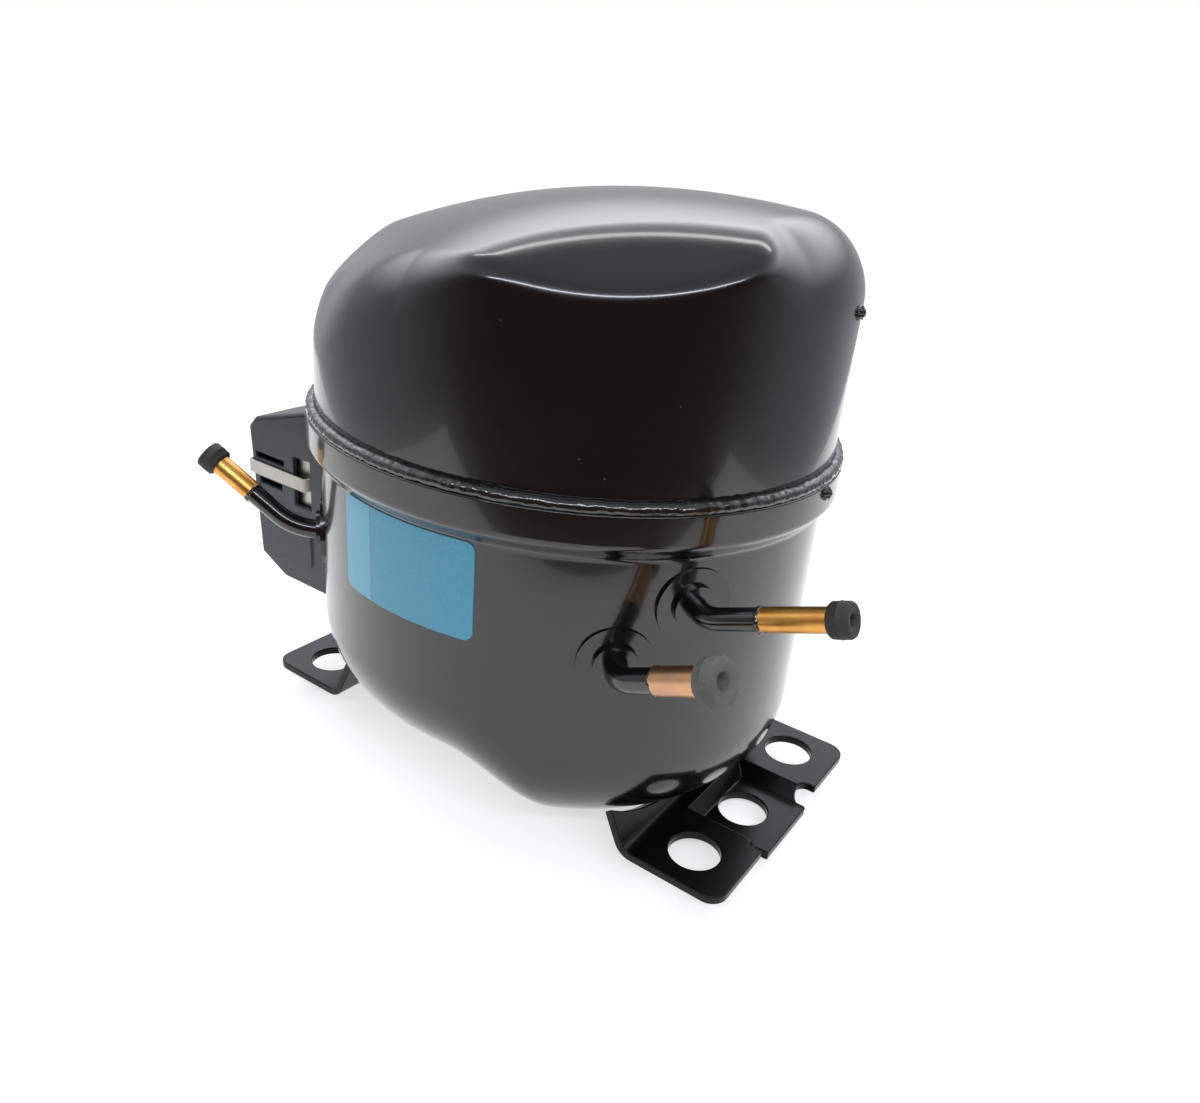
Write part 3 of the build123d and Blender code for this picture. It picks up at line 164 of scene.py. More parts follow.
def softbox(name, azimuth, elevation, distance, wide, high, watts, colour="#ffffff"):
    """An area lamp aimed at the middle of the object."""
    lamp = bpy.data.objects.new(name, bpy.data.lights.new(name, "AREA"))
    lamp.data.shape = "RECTANGLE"
    lamp.data.size = wide
    lamp.data.size_y = high
    lamp.data.energy = watts
    lamp.data.color = linear(colour)[:3]
    a, e = math.radians(azimuth), math.radians(elevation)
    way = Vector((math.cos(e) * math.cos(a), math.cos(e) * math.sin(a), math.sin(e)))
    lamp.location = Vector((0, 0, 0.1)) + way * distance
    lamp.rotation_euler = way.to_track_quat("Z", "Y").to_euler()
    bpy.context.collection.objects.link(lamp)


softbox("overhead_strip", 118, 66, 1.3, 1.3, 0.10, 2.4)
softbox("window_row_behind_viewer", -55, 42, 1.6, 2.2, 0.10, 14.0, "#f2f5ff")


# ---- Upper shell -------------------------------------------------------------------------------
# Lid deep-drawn from 3 mm steel sheet: an oval wall, a roof that slopes down to the terminal end,
# and flats pressed into its shoulders. Baked gloss black paint covers it after welding.
def paint_finish(name, tint, gloss, peel, coat, ior):
    """Baked black enamel: deep mirror gloss, with orange peel about 1 mm across that breaks
    reflections up softly, slow waves left by drawing, and a little dust."""
    material, tree, out = new_material(name)
    place = put(tree, "ShaderNodeTexCoord").outputs["Object"]
    grain = put(tree, "ShaderNodeTexNoise", values={"Scale": 1 / 0.0011, "Detail": 2.0},
                links={"Vector": place})
    waves = put(tree, "ShaderNodeTexNoise", values={"Scale": 1 / 0.021, "Detail": 1.0},
                links={"Vector": place})
    dust = put(tree, "ShaderNodeTexVoronoi", values={"Scale": 1 / 0.011}, links={"Vector": place})
    speck = put(tree, "ShaderNodeMapRange",
                values={"From Min": 0.020, "From Max": 0.032, "To Min": 1.0, "To Max": 0.0},
                links={"Value": dust.outputs["Distance"]})
    haze = put(tree, "ShaderNodeTexNoise", values={"Scale": 1 / 0.034, "Detail": 5.0},
               links={"Vector": place})
    wear = put(tree, "ShaderNodeMapRange",
               values={"From Min": 0.3, "From Max": 0.8, "To Min": gloss, "To Max": gloss + 0.09},
               links={"Value": haze.outputs["Fac"]})
    black = put(tree, "ShaderNodeMix", {"data_type": "RGBA"}, {6: linear(tint), 7: linear("#77736c")},
                {0: put(tree, "ShaderNodeMath", {"operation": "MULTIPLY"}, {1: 0.35},
                        {0: speck.outputs[0]}).outputs[0]})
    rough = put(tree, "ShaderNodeBump", values={"Strength": 1.0, "Distance": peel * 1e-3},
                links={"Height": grain.outputs["Fac"]})
    bump = put(tree, "ShaderNodeBump", values={"Strength": 1.0, "Distance": 0.10e-3},
               links={"Height": waves.outputs["Fac"], "Normal": rough.outputs[0]})
    shader = put(tree, "ShaderNodeBsdfPrincipled", values={"IOR": ior, "Coat Weight": coat,
                                                          "Coat Roughness": 0.06},
                 links={"Base Color": black.outputs[2], "Roughness": wear.outputs[0],
                        "Normal": bump.outputs[0]})
    tree.links.new(shader.outputs[0], out.inputs["Surface"])
    return material


def rounded(first, second, radius):
    """Joins two outward distances, so that the edge between them gets a round of this radius."""
    rest = np.minimum(np.maximum(first, second), -radius)
    return rest + np.hypot(np.maximum(first + radius, 0), np.maximum(second + radius, 0))


def ease(share):
    """A smooth step from 0 to 1."""
    share = np.clip(share, 0, 1)
    return share ** 2 * (3 - 2 * share)


def oval_wall(x, y, half_long, half_short):
    """Outward distance from an oval wall."""
    share = np.hypot(x / half_long, y / half_short)
    return (share - 1) * share / (np.hypot(x / half_long ** 2, y / half_short ** 2) + 1e-9)


def oval_reach(turn, half_long, half_short):
    """Distance from the middle to an oval in a direction."""
    return 1 / np.hypot(np.cos(turn) / half_long, np.sin(turn) / half_short)


def shoot(form, centre, turns, rises):
    """Points, in metres, where rays from a centre meet a form's skin, one row for each rise."""
    flat = np.cos(rises)[:, None]
    way = np.stack([flat * np.cos(turns)[None, :], flat * np.sin(turns)[None, :],
                    np.sin(rises)[:, None] * np.ones((1, len(turns)))], axis=-1)
    low, high = np.zeros(way.shape[:2]), np.full(way.shape[:2], 240.0)
    for _ in range(36):
        middle = (low + high) / 2
        inside = form(*np.moveaxis(np.array(centre) + way * middle[..., None], -1, 0)) < 0
        low, high = np.where(inside, middle, low), np.where(inside, high, middle)
    return (np.array(centre) + way * low[..., None]) / 1000


def ring_faces(rows, count, closed=False):
    """Quads between rows of a grid that is closed round its columns."""
    faces = []
    for row in range(rows - (0 if closed else 1)):
        here, above = row * count, (row + 1) % rows * count
        for column in range(count):
            beside = (column + 1) % count
            faces.append((here + column, here + beside, above + beside, above + column))
    return faces


def wall_from_skins(name, outer, inner):
    """A closed sheet-metal piece: outer and inner skins, each from its open rim to its pole."""
    count = outer.shape[1]
    points = [p for row in outer[:-1] for p in row] + [outer[-1, 0]]
    faces = ring_faces(len(outer) - 1, count)
    last, pole = (len(outer) - 2) * count, (len(outer) - 1) * count
    faces += [(last + c, last + (c + 1) % count, pole) for c in range(count)]
    start = len(points)
    points += [p for row in inner[:-1] for p in row] + [inner[-1, 0]]
    faces += [tuple(start + i for i in reversed(f)) for f in ring_faces(len(inner) - 1, count)]
    last, pole = start + (len(inner) - 2) * count, start + (len(inner) - 1) * count
    faces += [(last + (c + 1) % count, last + c, pole) for c in range(count)]
    faces += [(c, start + c, start + (c + 1) % count, (c + 1) % count) for c in range(count)]
    piece = mesh_piece(name, points, faces)
    shape = bmesh.new()
    shape.from_mesh(piece.data)
    bmesh.ops.recalc_face_normals(shape, faces=shape.faces)
    shape.to_mesh(piece.data)
    shape.free()
    return piece


sheet = 3.0
lid_long, lid_short, lid_rim = 88.4, 80.8, 111.1
crown_x, crown_y, crown_z = 35.0, 7.0, 194.7
roof_radius_along, roof_radius_across, flatter_near_side = 285.0, 132.0, 108.0
edge_round, squarer_sides, squarer_shoulder = 20.0, 8.0, 15.0
# Each flat: which way it faces, how far up it looks, its distance out, and the round of its edges.
pressed_flats = [(-59.1, 52.4, 189.3, 3.0), (-57.0, 56.0, 193.3, 3.0), (59.5, 55.4, 190.0, 3.0),
                 (80.7, 57.3, 187.3, 3.0), (-134, 50, 172.6, 1.6)]


def lid_form(inset):
    """Outward distance from the lid, drawn in by inset."""
    def distance(x, y, z):
        near = (y < crown_y) * ease((x + 50.0) / 80.0)
        across = roof_radius_across + flatter_near_side * near
        slope_x, slope_y = (x - crown_x) / roof_radius_along, (y - crown_y) / across
        fall = slope_x * (x - crown_x) / 2 + slope_y * (y - crown_y) / 2
        roof = z - (crown_z - inset - fall)
        turn = np.degrees(np.arctan2(y, x))
        sides = squarer_sides * ease((np.abs(turn) - 24) / 22) * ease((132 - np.abs(turn)) / 26)
        shoulder = squarer_shoulder * ease((-turn - 10) / 18) * ease((112 + turn) / 40)
        skin = rounded(oval_wall(x, y, lid_long - inset, lid_short - inset),
                       roof / np.sqrt(1 + slope_x ** 2 + slope_y ** 2),
                       edge_round - np.maximum(sides, shoulder) - inset)
        for azimuth, tilt, reach, radius in pressed_flats:
            a, t = math.radians(azimuth), math.radians(tilt)
            flat = (x * math.cos(a) + y * math.sin(a)) * math.cos(t) + z * math.sin(t) - reach + inset
            skin = rounded(skin, flat, radius)
        return skin
    return distance


turns = np.linspace(0, 2 * math.pi, 440, endpoint=False)
outer = shoot(lid_form(0.0), (0, 0, lid_rim), turns, np.radians(np.linspace(0, 90, 150)))
inner = shoot(lid_form(sheet), (0, 0, lid_rim), turns, np.radians(np.linspace(0, 90, 36)))
upper_shell = wall_from_skins("upper_shell_pressing", outer, inner)
black_enamel = paint_finish("baked_black_enamel", "#0d0d0e", 0.15, 0.006, 0.5, 1.52)
upper_shell.data.materials.append(black_enamel)
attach(upper_shell, "shell")
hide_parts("upper_shell")

# ---- Lower shell -------------------------------------------------------------------------------
# Pan drawn from the same sheet, with a deeper end for the oil, a swept step in its floor, a big
# bottom round, and a mouth flared out to take the lid. A round hole holds the terminal.
pan_long, pan_short = 87.3, 79.8
deep_floor, shallow_floor = 4.6, 18.5
step_middle, step_run = 26.0, 36.2
flange_top = 119.5
flange_step = 4.15
flare_bottom, flare_rise = 104.2, 6.6
pan_middle = 78.0


def pan_form(inset):
    """Outward distance from the pan below its flare, drawn in by inset."""
    def distance(x, y, z):
        share = np.clip((x - step_middle) / step_run + 0.5, 0, 1)
        floor = shallow_floor + inset - (shallow_floor - deep_floor) * ease(share)
        slope = -(shallow_floor - deep_floor) * 6 * share * (1 - share) / step_run
        return rounded(oval_wall(x, y, pan_long - inset, pan_short - inset),
                       (floor - z) / np.sqrt(1 + slope ** 2), 30.0 - inset)
    return distance


def mouth_rows(inset, heights):
    """Rows of the oval wall up through the swept flare to the flange."""
    rows = []
    for z in heights:
        grow = flange_step * ease((z - inset * 0.4 - flare_bottom) / flare_rise) - inset
        reach = oval_reach(turns, pan_long + grow, pan_short + grow)
        level = np.full(len(turns), z)
        rows.append(np.stack([reach * np.cos(turns), reach * np.sin(turns), level], -1) / 1000)
    return np.array(rows)


rises = -np.radians(np.linspace(0, 90, 84))
heights = [flange_top, flange_top - 0.4, 117.0] + list(np.linspace(114, 102, 26)) + [96.0, 88.0]
skirt = mouth_rows(0.0, heights)
outer = np.concatenate([skirt, shoot(pan_form(0.0), (0, 0, pan_middle), turns, rises)])
skirt = mouth_rows(sheet, heights)
inner = np.concatenate([skirt, shoot(pan_form(sheet), (0, 0, pan_middle), turns, rises)])
lower_shell = wall_from_skins("lower_shell_pressing", outer, inner)
hole_radius, hole_height, hole_sides = 0.01405, 0.072, 64
spokes = [2 * math.pi * i / hole_sides for i in range(hole_sides)]
drill = [(x, hole_radius * math.cos(spoke), hole_height + hole_radius * math.sin(spoke))
         for x in (-0.110, -0.060) for spoke in spokes]
ends = [tuple(range(hole_sides)), tuple(reversed(range(hole_sides, 2 * hole_sides)))]
walls = [(i, i + hole_sides, (i + 1) % hole_sides + hole_sides, (i + 1) % hole_sides)
         for i in range(hole_sides)]
terminal_hole = mesh_piece("terminal_hole", drill, ends + walls)
cut = lower_shell.modifiers.new("terminal_hole", "BOOLEAN")
cut.object = terminal_hole
cut.solver = "EXACT"
whole = bpy.data.meshes.new_from_object(lower_shell.evaluated_get(bpy.context.evaluated_depsgraph_get()))
lower_shell.modifiers.clear()
lower_shell.data = whole
bpy.data.objects.remove(terminal_hole)
lower_shell.data.materials.clear()
lower_shell.data.materials.append(black_enamel)
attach(lower_shell, "shell")
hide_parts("lower_shell")

# ---- Seam weld ---------------------------------------------------------------------------------
# The mouth is closed by one arc-weld bead laid right round. It freezes in small ripples, stays
# lumpy, and is painted over with the shells, so it glitters along its top.
def bead_tree():
    """A bead laid round an oval: a round section swept along it, rippled and lumpy."""
    tree = bpy.data.node_groups.new("weld_bead", "GeometryNodeTree")
    tree.interface.new_socket("Geometry", in_out="OUTPUT", socket_type="NodeSocketGeometry")
    sizes = {}
    for name in ("Half length", "Half width", "Bead radius", "Flatten", "Ripples", "Ripple depth",
                 "Lump size", "Lump depth", "Steps"):
        socket = tree.interface.new_socket(name, in_out="INPUT", socket_type="NodeSocketFloat")
        sizes[name] = socket.identifier
    finish = tree.interface.new_socket("Finish", in_out="INPUT", socket_type="NodeSocketMaterial")
    sizes["Finish"] = finish.identifier
    given = put(tree, "NodeGroupInput").outputs
    steps = put(tree, "FunctionNodeFloatToInt", links={0: given["Steps"]})
    circle = put(tree, "GeometryNodeCurvePrimitiveCircle", values={"Radius": 1.0},
                 links={"Resolution": steps.outputs[0]})
    spread = put(tree, "ShaderNodeCombineXYZ", values={"Z": 1.0},
                 links={"X": given["Half length"], "Y": given["Half width"]})
    oval = put(tree, "GeometryNodeTransform", links={"Geometry": circle.outputs["Curve"],
                                                     "Scale": spread.outputs[0]})
    section = put(tree, "GeometryNodeCurvePrimitiveCircle", values={"Resolution": 18},
                  links={"Radius": given["Bead radius"]})
    bead = put(tree, "GeometryNodeCurveToMesh", links={"Curve": oval.outputs[0],
                                                       "Profile Curve": section.outputs["Curve"]})
    place = put(tree, "GeometryNodeInputPosition").outputs[0]
    across = put(tree, "ShaderNodeSeparateXYZ", links={0: place}).outputs
    x = put(tree, "ShaderNodeMath", {"operation": "DIVIDE"},
            links={0: across["X"], 1: given["Half length"]})
    y = put(tree, "ShaderNodeMath", {"operation": "DIVIDE"},
            links={0: across["Y"], 1: given["Half width"]})
    turn = put(tree, "ShaderNodeMath", {"operation": "ARCTAN2"}, links={0: y.outputs[0], 1: x.outputs[0]})
    phase = put(tree, "ShaderNodeMath", {"operation": "MULTIPLY"}, links={0: turn.outputs[0],
                                                                          1: given["Ripples"]})
    wave = put(tree, "ShaderNodeMath", {"operation": "SINE"}, links={0: phase.outputs[0]})
    ripple = put(tree, "ShaderNodeMath", {"operation": "MULTIPLY"}, links={0: wave.outputs[0],
                                                                           1: given["Ripple depth"]})
    pitch = put(tree, "ShaderNodeMath", {"operation": "DIVIDE"}, {0: 1.0}, {1: given["Lump size"]})
    lumps = put(tree, "ShaderNodeTexNoise", values={"Detail": 3.0}, links={"Vector": place,
                                                                           "Scale": pitch.outputs[0]})
    centred = put(tree, "ShaderNodeMath", {"operation": "SUBTRACT"}, {1: 0.5}, {0: lumps.outputs["Fac"]})
    lump = put(tree, "ShaderNodeMath", {"operation": "MULTIPLY"}, links={0: centred.outputs[0],
                                                                         1: given["Lump depth"]})
    rise = put(tree, "ShaderNodeMath", {"operation": "ADD"},
               links={0: ripple.outputs[0], 1: lump.outputs[0]})
    normal = put(tree, "GeometryNodeInputNormal").outputs[0]
    push = put(tree, "ShaderNodeVectorMath", {"operation": "SCALE"},
               links={0: normal, "Scale": rise.outputs[0]})
    moved = put(tree, "GeometryNodeSetPosition",
                links={"Geometry": bead.outputs[0], "Offset": push.outputs[0]})
    flat = put(tree, "ShaderNodeCombineXYZ", values={"X": 1.0, "Y": 1.0}, links={"Z": given["Flatten"]})
    low = put(tree, "GeometryNodeTransform",
              links={"Geometry": moved.outputs[0], "Scale": flat.outputs[0]})
    smooth = put(tree, "GeometryNodeSetShadeSmooth", links={0: low.outputs[0]})
    real = put(tree, "GeometryNodeRealizeInstances", links={0: smooth.outputs[0]})
    painted = put(tree, "GeometryNodeSetMaterial", links={"Geometry": real.outputs[0],
                                                          "Material": given["Finish"]})
    put(tree, "NodeGroupOutput", links={0: painted.outputs[0]})
    return tree, sizes


bead_group, bead_sizes = bead_tree()


def lay_bead(name, finish, place, **sizes):
    """One bead as a plain mesh, moved to its place."""
    piece = mesh_piece(name, [(0, 0, 0)], [])
    layer = piece.modifiers.new("bead", "NODES")
    layer.node_group = bead_group
    for size, value in sizes.items():
        layer[bead_sizes[size.replace("_", " ")]] = float(value)
    layer[bead_sizes["Finish"]] = finish
    bpy.context.view_layer.update()
    made = bpy.data.meshes.new_from_object(piece.evaluated_get(bpy.context.evaluated_depsgraph_get()))
    piece.modifiers.clear()
    made.transform(place)
    piece.data = made
    return piece


def weld_finish(name, tint):
    """Painted weld metal: very glossy, pitted by spatter about 0.7 mm across, so it sparkles."""
    material, tree, out = new_material(name)
    place = put(tree, "ShaderNodeTexCoord").outputs["Object"]
    pits = put(tree, "ShaderNodeTexNoise", values={"Scale": 1 / 0.0016, "Detail": 4.0},
               links={"Vector": place})
    scale = put(tree, "ShaderNodeTexVoronoi", values={"Scale": 1 / 0.0021}, links={"Vector": place})
    spatter = put(tree, "ShaderNodeMath", {"operation": "ADD"}, links={0: pits.outputs["Fac"],
                                                                    1: scale.outputs["Distance"]})
    bump = put(tree, "ShaderNodeBump", values={"Strength": 1.0, "Distance": 0.14e-3},
               links={"Height": spatter.outputs[0]})
    shade = put(tree, "ShaderNodeMix", {"data_type": "RGBA"}, {6: linear(tint), 7: linear("#1d1c1b")},
                {0: pits.outputs["Fac"]})
    shader = put(tree, "ShaderNodeBsdfPrincipled",
                 values={"Roughness": 0.10, "IOR": 1.6, "Coat Weight": 0.6,
                                                          "Coat Roughness": 0.03},
                 links={"Base Color": shade.outputs[2], "Normal": bump.outputs[0]})
    tree.links.new(shader.outputs[0], out.inputs["Surface"])
    return material


painted_weld = weld_finish("painted_weld_metal", "#0e0e0f")
seam = lay_bead("seam_weld_bead", painted_weld, Matrix.Translation((0, 0, 0.1208)), Half_length=0.0893,
                Half_width=0.0817, Bead_radius=0.0021, Flatten=1.0, Ripples=190, Ripple_depth=0.00002,
                Lump_size=0.0038, Lump_depth=0.0010, Steps=1800)
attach(seam, "shell")
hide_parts("seam_weld")

# ---- Shell pips --------------------------------------------------------------------------------
# Two blobs of weld left on the cylinder-head end, where a hanging hook was tacked for painting.
for pip_name, azimuth, height, half_long, half_short in [("lid_pip", 9.0, 0.168, 0.0884, 0.0808),
                                                         ("flange_pip", 2.0, 0.117, 0.09145, 0.08385)]:
    a = math.radians(azimuth)
    reach = float(oval_reach(a, half_long, half_short))
    shape = bmesh.new()
    bmesh.ops.create_icosphere(shape, subdivisions=4, radius=0.0022)
    for vert in shape.verts:
        way = vert.co.normalized()
        lump = math.sin(way.x * 7.0 + way.z * 5.0) * math.sin(way.y * 9.0 + 1.0)
        lump += 0.5 * math.sin(way.z * 17.0)
        vert.co += way * lump * 0.00028
        vert.co += Vector((reach * math.cos(a), reach * math.sin(a), height)) - Vector(
            (math.cos(a), math.sin(a), 0)) * 0.0004
    blob = mesh_piece(pip_name, [(0, 0, 0)], [])
    shape.to_mesh(blob.data)
    shape.free()
    blob.data.polygons.foreach_set("use_smooth", [True] * len(blob.data.polygons))
    blob.data.materials.append(painted_weld)
    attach(blob, "shell")
    if pip_name == "lid_pip":
        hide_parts("shell_pips")


# ---- Feet --------------------------------------------------------------------------------------
# Two plates stamped and bent from 3 mm sheet, with punched holes and a lowered middle tab, turned
# up to the shell's round bottom and welded there. The punch leaves softly rolled edges.
def eased(node, name, edge, dissolve=0.8, sharp=32.0):
    """A copy of a formed or moulded piece whose sharp edges are rolled over, so they catch light."""
    shape = bmesh.new()
    shape.from_mesh(nodes[node].data)
    bmesh.ops.remove_doubles(shape, verts=shape.verts, dist=2e-6)
    bmesh.ops.dissolve_limit(shape, angle_limit=math.radians(dissolve), verts=shape.verts,
                             edges=shape.edges)
    piece = mesh_piece(name, [(0, 0, 0)], [])
    shape.to_mesh(piece.data)
    shape.free()
    piece.data.polygons.foreach_set("use_smooth", [True] * len(piece.data.polygons))
    roll = piece.modifiers.new("roll", "BEVEL")
    roll.width = edge
    roll.segments = 3
    roll.limit_method = "ANGLE"
    roll.angle_limit = math.radians(sharp)
    roll.use_clamp_overlap = False
    weighted = piece.modifiers.new("even", "WEIGHTED_NORMAL")
    weighted.keep_sharp = False
    made = bpy.data.meshes.new_from_object(piece.evaluated_get(bpy.context.evaluated_depsgraph_get()))
    piece.modifiers.clear()
    piece.data = made
    return piece


# The feet take a darker, duller copy of the shell's black enamel (darker tint, no coat, lower IOR):
# painted shade, standing in for the dark surroundings their tops reflect.
shaded_foot_enamel = paint_finish("black_enamel_with_painted_shade_on_feet", "#0a0a0b", 0.20, 0.006, 0.0, 1.32)
for side in ("right", "left"):
    plate = eased("foot_" + side, "foot_plate_" + side, 0.0005)
    plate.data.materials.clear()
    plate.data.materials.append(shaded_foot_enamel)
    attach(plate, "shell")
    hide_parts("foot_" + side)


# ---- Tube sets ---------------------------------------------------------------------------------
# Steel elbows through the wall in raised collars, painted with the shell. Copper stubs are brazed
# on their ends and shut with moulded rubber plugs. Drawn copper keeps faint lines and heat tints.
def wave_metal(name, first, second, gloss, grain, depth, stretch=(1, 1, 1)):
    """Worked metal: two tints in soft patches, and fine marks of a real pitch in metres."""
    material, tree, out = new_material(name)
    place = put(tree, "ShaderNodeTexCoord").outputs["Object"]
    drawn = put(tree, "ShaderNodeMapping", values={"Scale": stretch}, links={"Vector": place})
    marks = put(tree, "ShaderNodeTexNoise", values={"Scale": 1 / grain, "Detail": 3.0},
                links={"Vector": drawn.outputs[0]})
    patches = put(tree, "ShaderNodeTexNoise", values={"Scale": 1 / 0.006, "Detail": 3.0},
                  links={"Vector": place})
    share = put(tree, "ShaderNodeMapRange", values={"From Min": 0.35, "From Max": 0.65},
                links={"Value": patches.outputs["Fac"]})
    tint = put(tree, "ShaderNodeMix", {"data_type": "RGBA"}, {6: linear(first), 7: linear(second)},
               {0: share.outputs[0]})
    rough = put(tree, "ShaderNodeMapRange", values={"To Min": gloss - 0.06, "To Max": gloss + 0.12},
                links={"Value": marks.outputs["Fac"]})
    bump = put(tree, "ShaderNodeBump", values={"Strength": 1.0, "Distance": depth},
               links={"Height": marks.outputs["Fac"]})
    shader = put(tree, "ShaderNodeBsdfPrincipled", values={"Metallic": 1.0},
                 links={"Base Color": tint.outputs[2], "Roughness": rough.outputs[0],
                        "Normal": bump.outputs[0]})
    tree.links.new(shader.outputs[0], out.inputs["Surface"])
    return material


def moulded(name, first, second, gloss, grain, depth):
    """Moulded rubber or plastic: near one colour, with the mould's fine eroded grain."""
    material, tree, out = new_material(name)
    place = put(tree, "ShaderNodeTexCoord").outputs["Object"]
    fine = put(tree, "ShaderNodeTexNoise", values={"Scale": 1 / grain, "Detail": 4.0},
               links={"Vector": place})
    broad = put(tree, "ShaderNodeTexNoise", values={"Scale": 1 / 0.012, "Detail": 4.0},
                links={"Vector": place})
    share = put(tree, "ShaderNodeMapRange", values={"From Min": 0.35, "From Max": 0.7},
                links={"Value": broad.outputs["Fac"]})
    tint = put(tree, "ShaderNodeMix", {"data_type": "RGBA"}, {6: linear(first), 7: linear(second)},
               {0: share.outputs[0]})
    rough = put(tree, "ShaderNodeMapRange", values={"To Min": gloss - 0.05, "To Max": gloss + 0.1},
                links={"Value": broad.outputs["Fac"]})
    bump = put(tree, "ShaderNodeBump", values={"Strength": 1.0, "Distance": depth},
               links={"Height": fine.outputs["Fac"]})
    shader = put(tree, "ShaderNodeBsdfPrincipled", values={"IOR": 1.5},
                 links={"Base Color": tint.outputs[2], "Roughness": rough.outputs[0],
                        "Normal": bump.outputs[0]})
    tree.links.new(shader.outputs[0], out.inputs["Surface"])
    return material


def paint_node(name, finish):
    """Gives a node that keeps its shape its finish."""
    nodes[name].data.materials.clear()
    nodes[name].data.materials.append(finish)


golden_copper = wave_metal("drawn_copper_tube", "#e9b064", "#d8994c", 0.30, 0.0007, 0.000003)
tinted_copper = wave_metal("heat_tinted_copper", "#dba876", "#c89d82", 0.34, 0.0007, 0.000004)
braze = weld_finish("painted_braze", "#0b0a0a")
plug_rubber = moulded("moulded_black_rubber", "#2b2c2b", "#3a3b39", 0.62, 0.0006, 0.00008)
grey_rubber = moulded("moulded_grey_rubber", "#5b5d5a", "#747673", 0.66, 0.0009, 0.00022)
stem_clearance = 0.86


def ragged(angle, up):
    """How far the soft rim of a worn plug stands out of round, in millimetres."""
    waves = 0.16 * math.sin(angle * 5 + up) * math.sin(angle * 13 + 2 * up)
    return waves - 0.10 * abs(math.sin(angle * 3.0))


def rubber_plug(name, stub_radius, plug_radius, hole, worn, place):
    """A moulded plug: a fat rim with a blind hole and a parting line, and a stem that fills the stub."""
    stem = stub_radius - stem_clearance
    outline = [(hole, -1.5), (hole, 5.2), (hole + 0.5, 5.75), (plug_radius - 1.1, 6.0),
               (plug_radius - 0.35, 5.8), (plug_radius, 5.2), (plug_radius + 0.02, 3.1),
               (plug_radius + 0.16, 2.95), (plug_radius + 0.02, 2.8), (plug_radius - 0.05, 0.6),
               (plug_radius - 0.5, 0.05), (stem, 0.0), (stem, -6.9), (0.0, -7.0)]
    around, points = 96, []
    for row, (radius, up) in enumerate(outline):
        for step in range(around):
            angle = 2 * math.pi * step / around
            reach = (radius + (ragged(angle, up) if worn and 4 <= row <= 10 else 0.0)) / 1000
            points.append((reach * math.cos(angle), reach * math.sin(angle), (up + 0.05) / 1000))
    plug = mesh_piece(name, points, ring_faces(len(outline), around))
    plug.data.transform(place)
    shape = bmesh.new()
    shape.from_mesh(plug.data)
    bmesh.ops.remove_doubles(shape, verts=shape.verts, dist=1e-7)
    bmesh.ops.holes_fill(shape, edges=[e for e in shape.edges if e.is_boundary])
    bmesh.ops.recalc_face_normals(shape, faces=shape.faces)
    shape.to_mesh(plug.data)
    shape.free()
    return plug


# Each stub: its heading and rise in degrees, length and radius, its plug's radius and hole, and the
# radius of the steel tube that it is brazed to, in millimetres.
stubs = {"suction": (-9.3, 26.6, 17.0, 4.1, 6.5, 2.3, 3.7),
         "process": (-0.2, 21.0, 19.5, 3.5, 4.9, 1.6, 3.3),
         "discharge": (-158.2, 35.3, 14.0, 3.5, 4.9, 1.6, 3.3)}
for line, (heading, rise, length, stub_radius, plug_radius, hole, steel_radius) in stubs.items():
    low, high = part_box(line + "_stub")
    h, r = math.radians(heading), math.radians(rise)
    axis = Vector((math.cos(r) * math.cos(h), math.cos(r) * math.sin(h), math.sin(r)))
    middle = (Vector(low) + Vector(high)) / 2
    joint = middle - axis * length / 2000
    tip = middle + axis * length / 2000
    turn = axis.to_track_quat("Z", "Y").to_matrix().to_4x4()
    worn = line == "suction"
    paint_node(line + "_tube", black_enamel)
    paint_node(line + "_stub", tinted_copper if worn else golden_copper)
    ring = lay_bead(line + "_braze_ring", braze, Matrix.Translation(joint - axis * 0.0002) @ turn,
                    Half_length=steel_radius / 1000, Half_width=steel_radius / 1000,
                    Bead_radius=0.00055, Flatten=1.2, Ripples=9, Ripple_depth=0.00008,
                    Lump_size=0.0016, Lump_depth=0.0009, Steps=90)
    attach(ring, "shell")
    plug = rubber_plug(line + "_rubber_plug", stub_radius, plug_radius, hole, worn,
                       Matrix.Translation(tip) @ turn)
    plug.data.materials.append(grey_rubber if worn else plug_rubber)
    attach(plug, line + "_cap")
    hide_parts(line + "_plug")
paint_node("tube_collars", black_enamel)


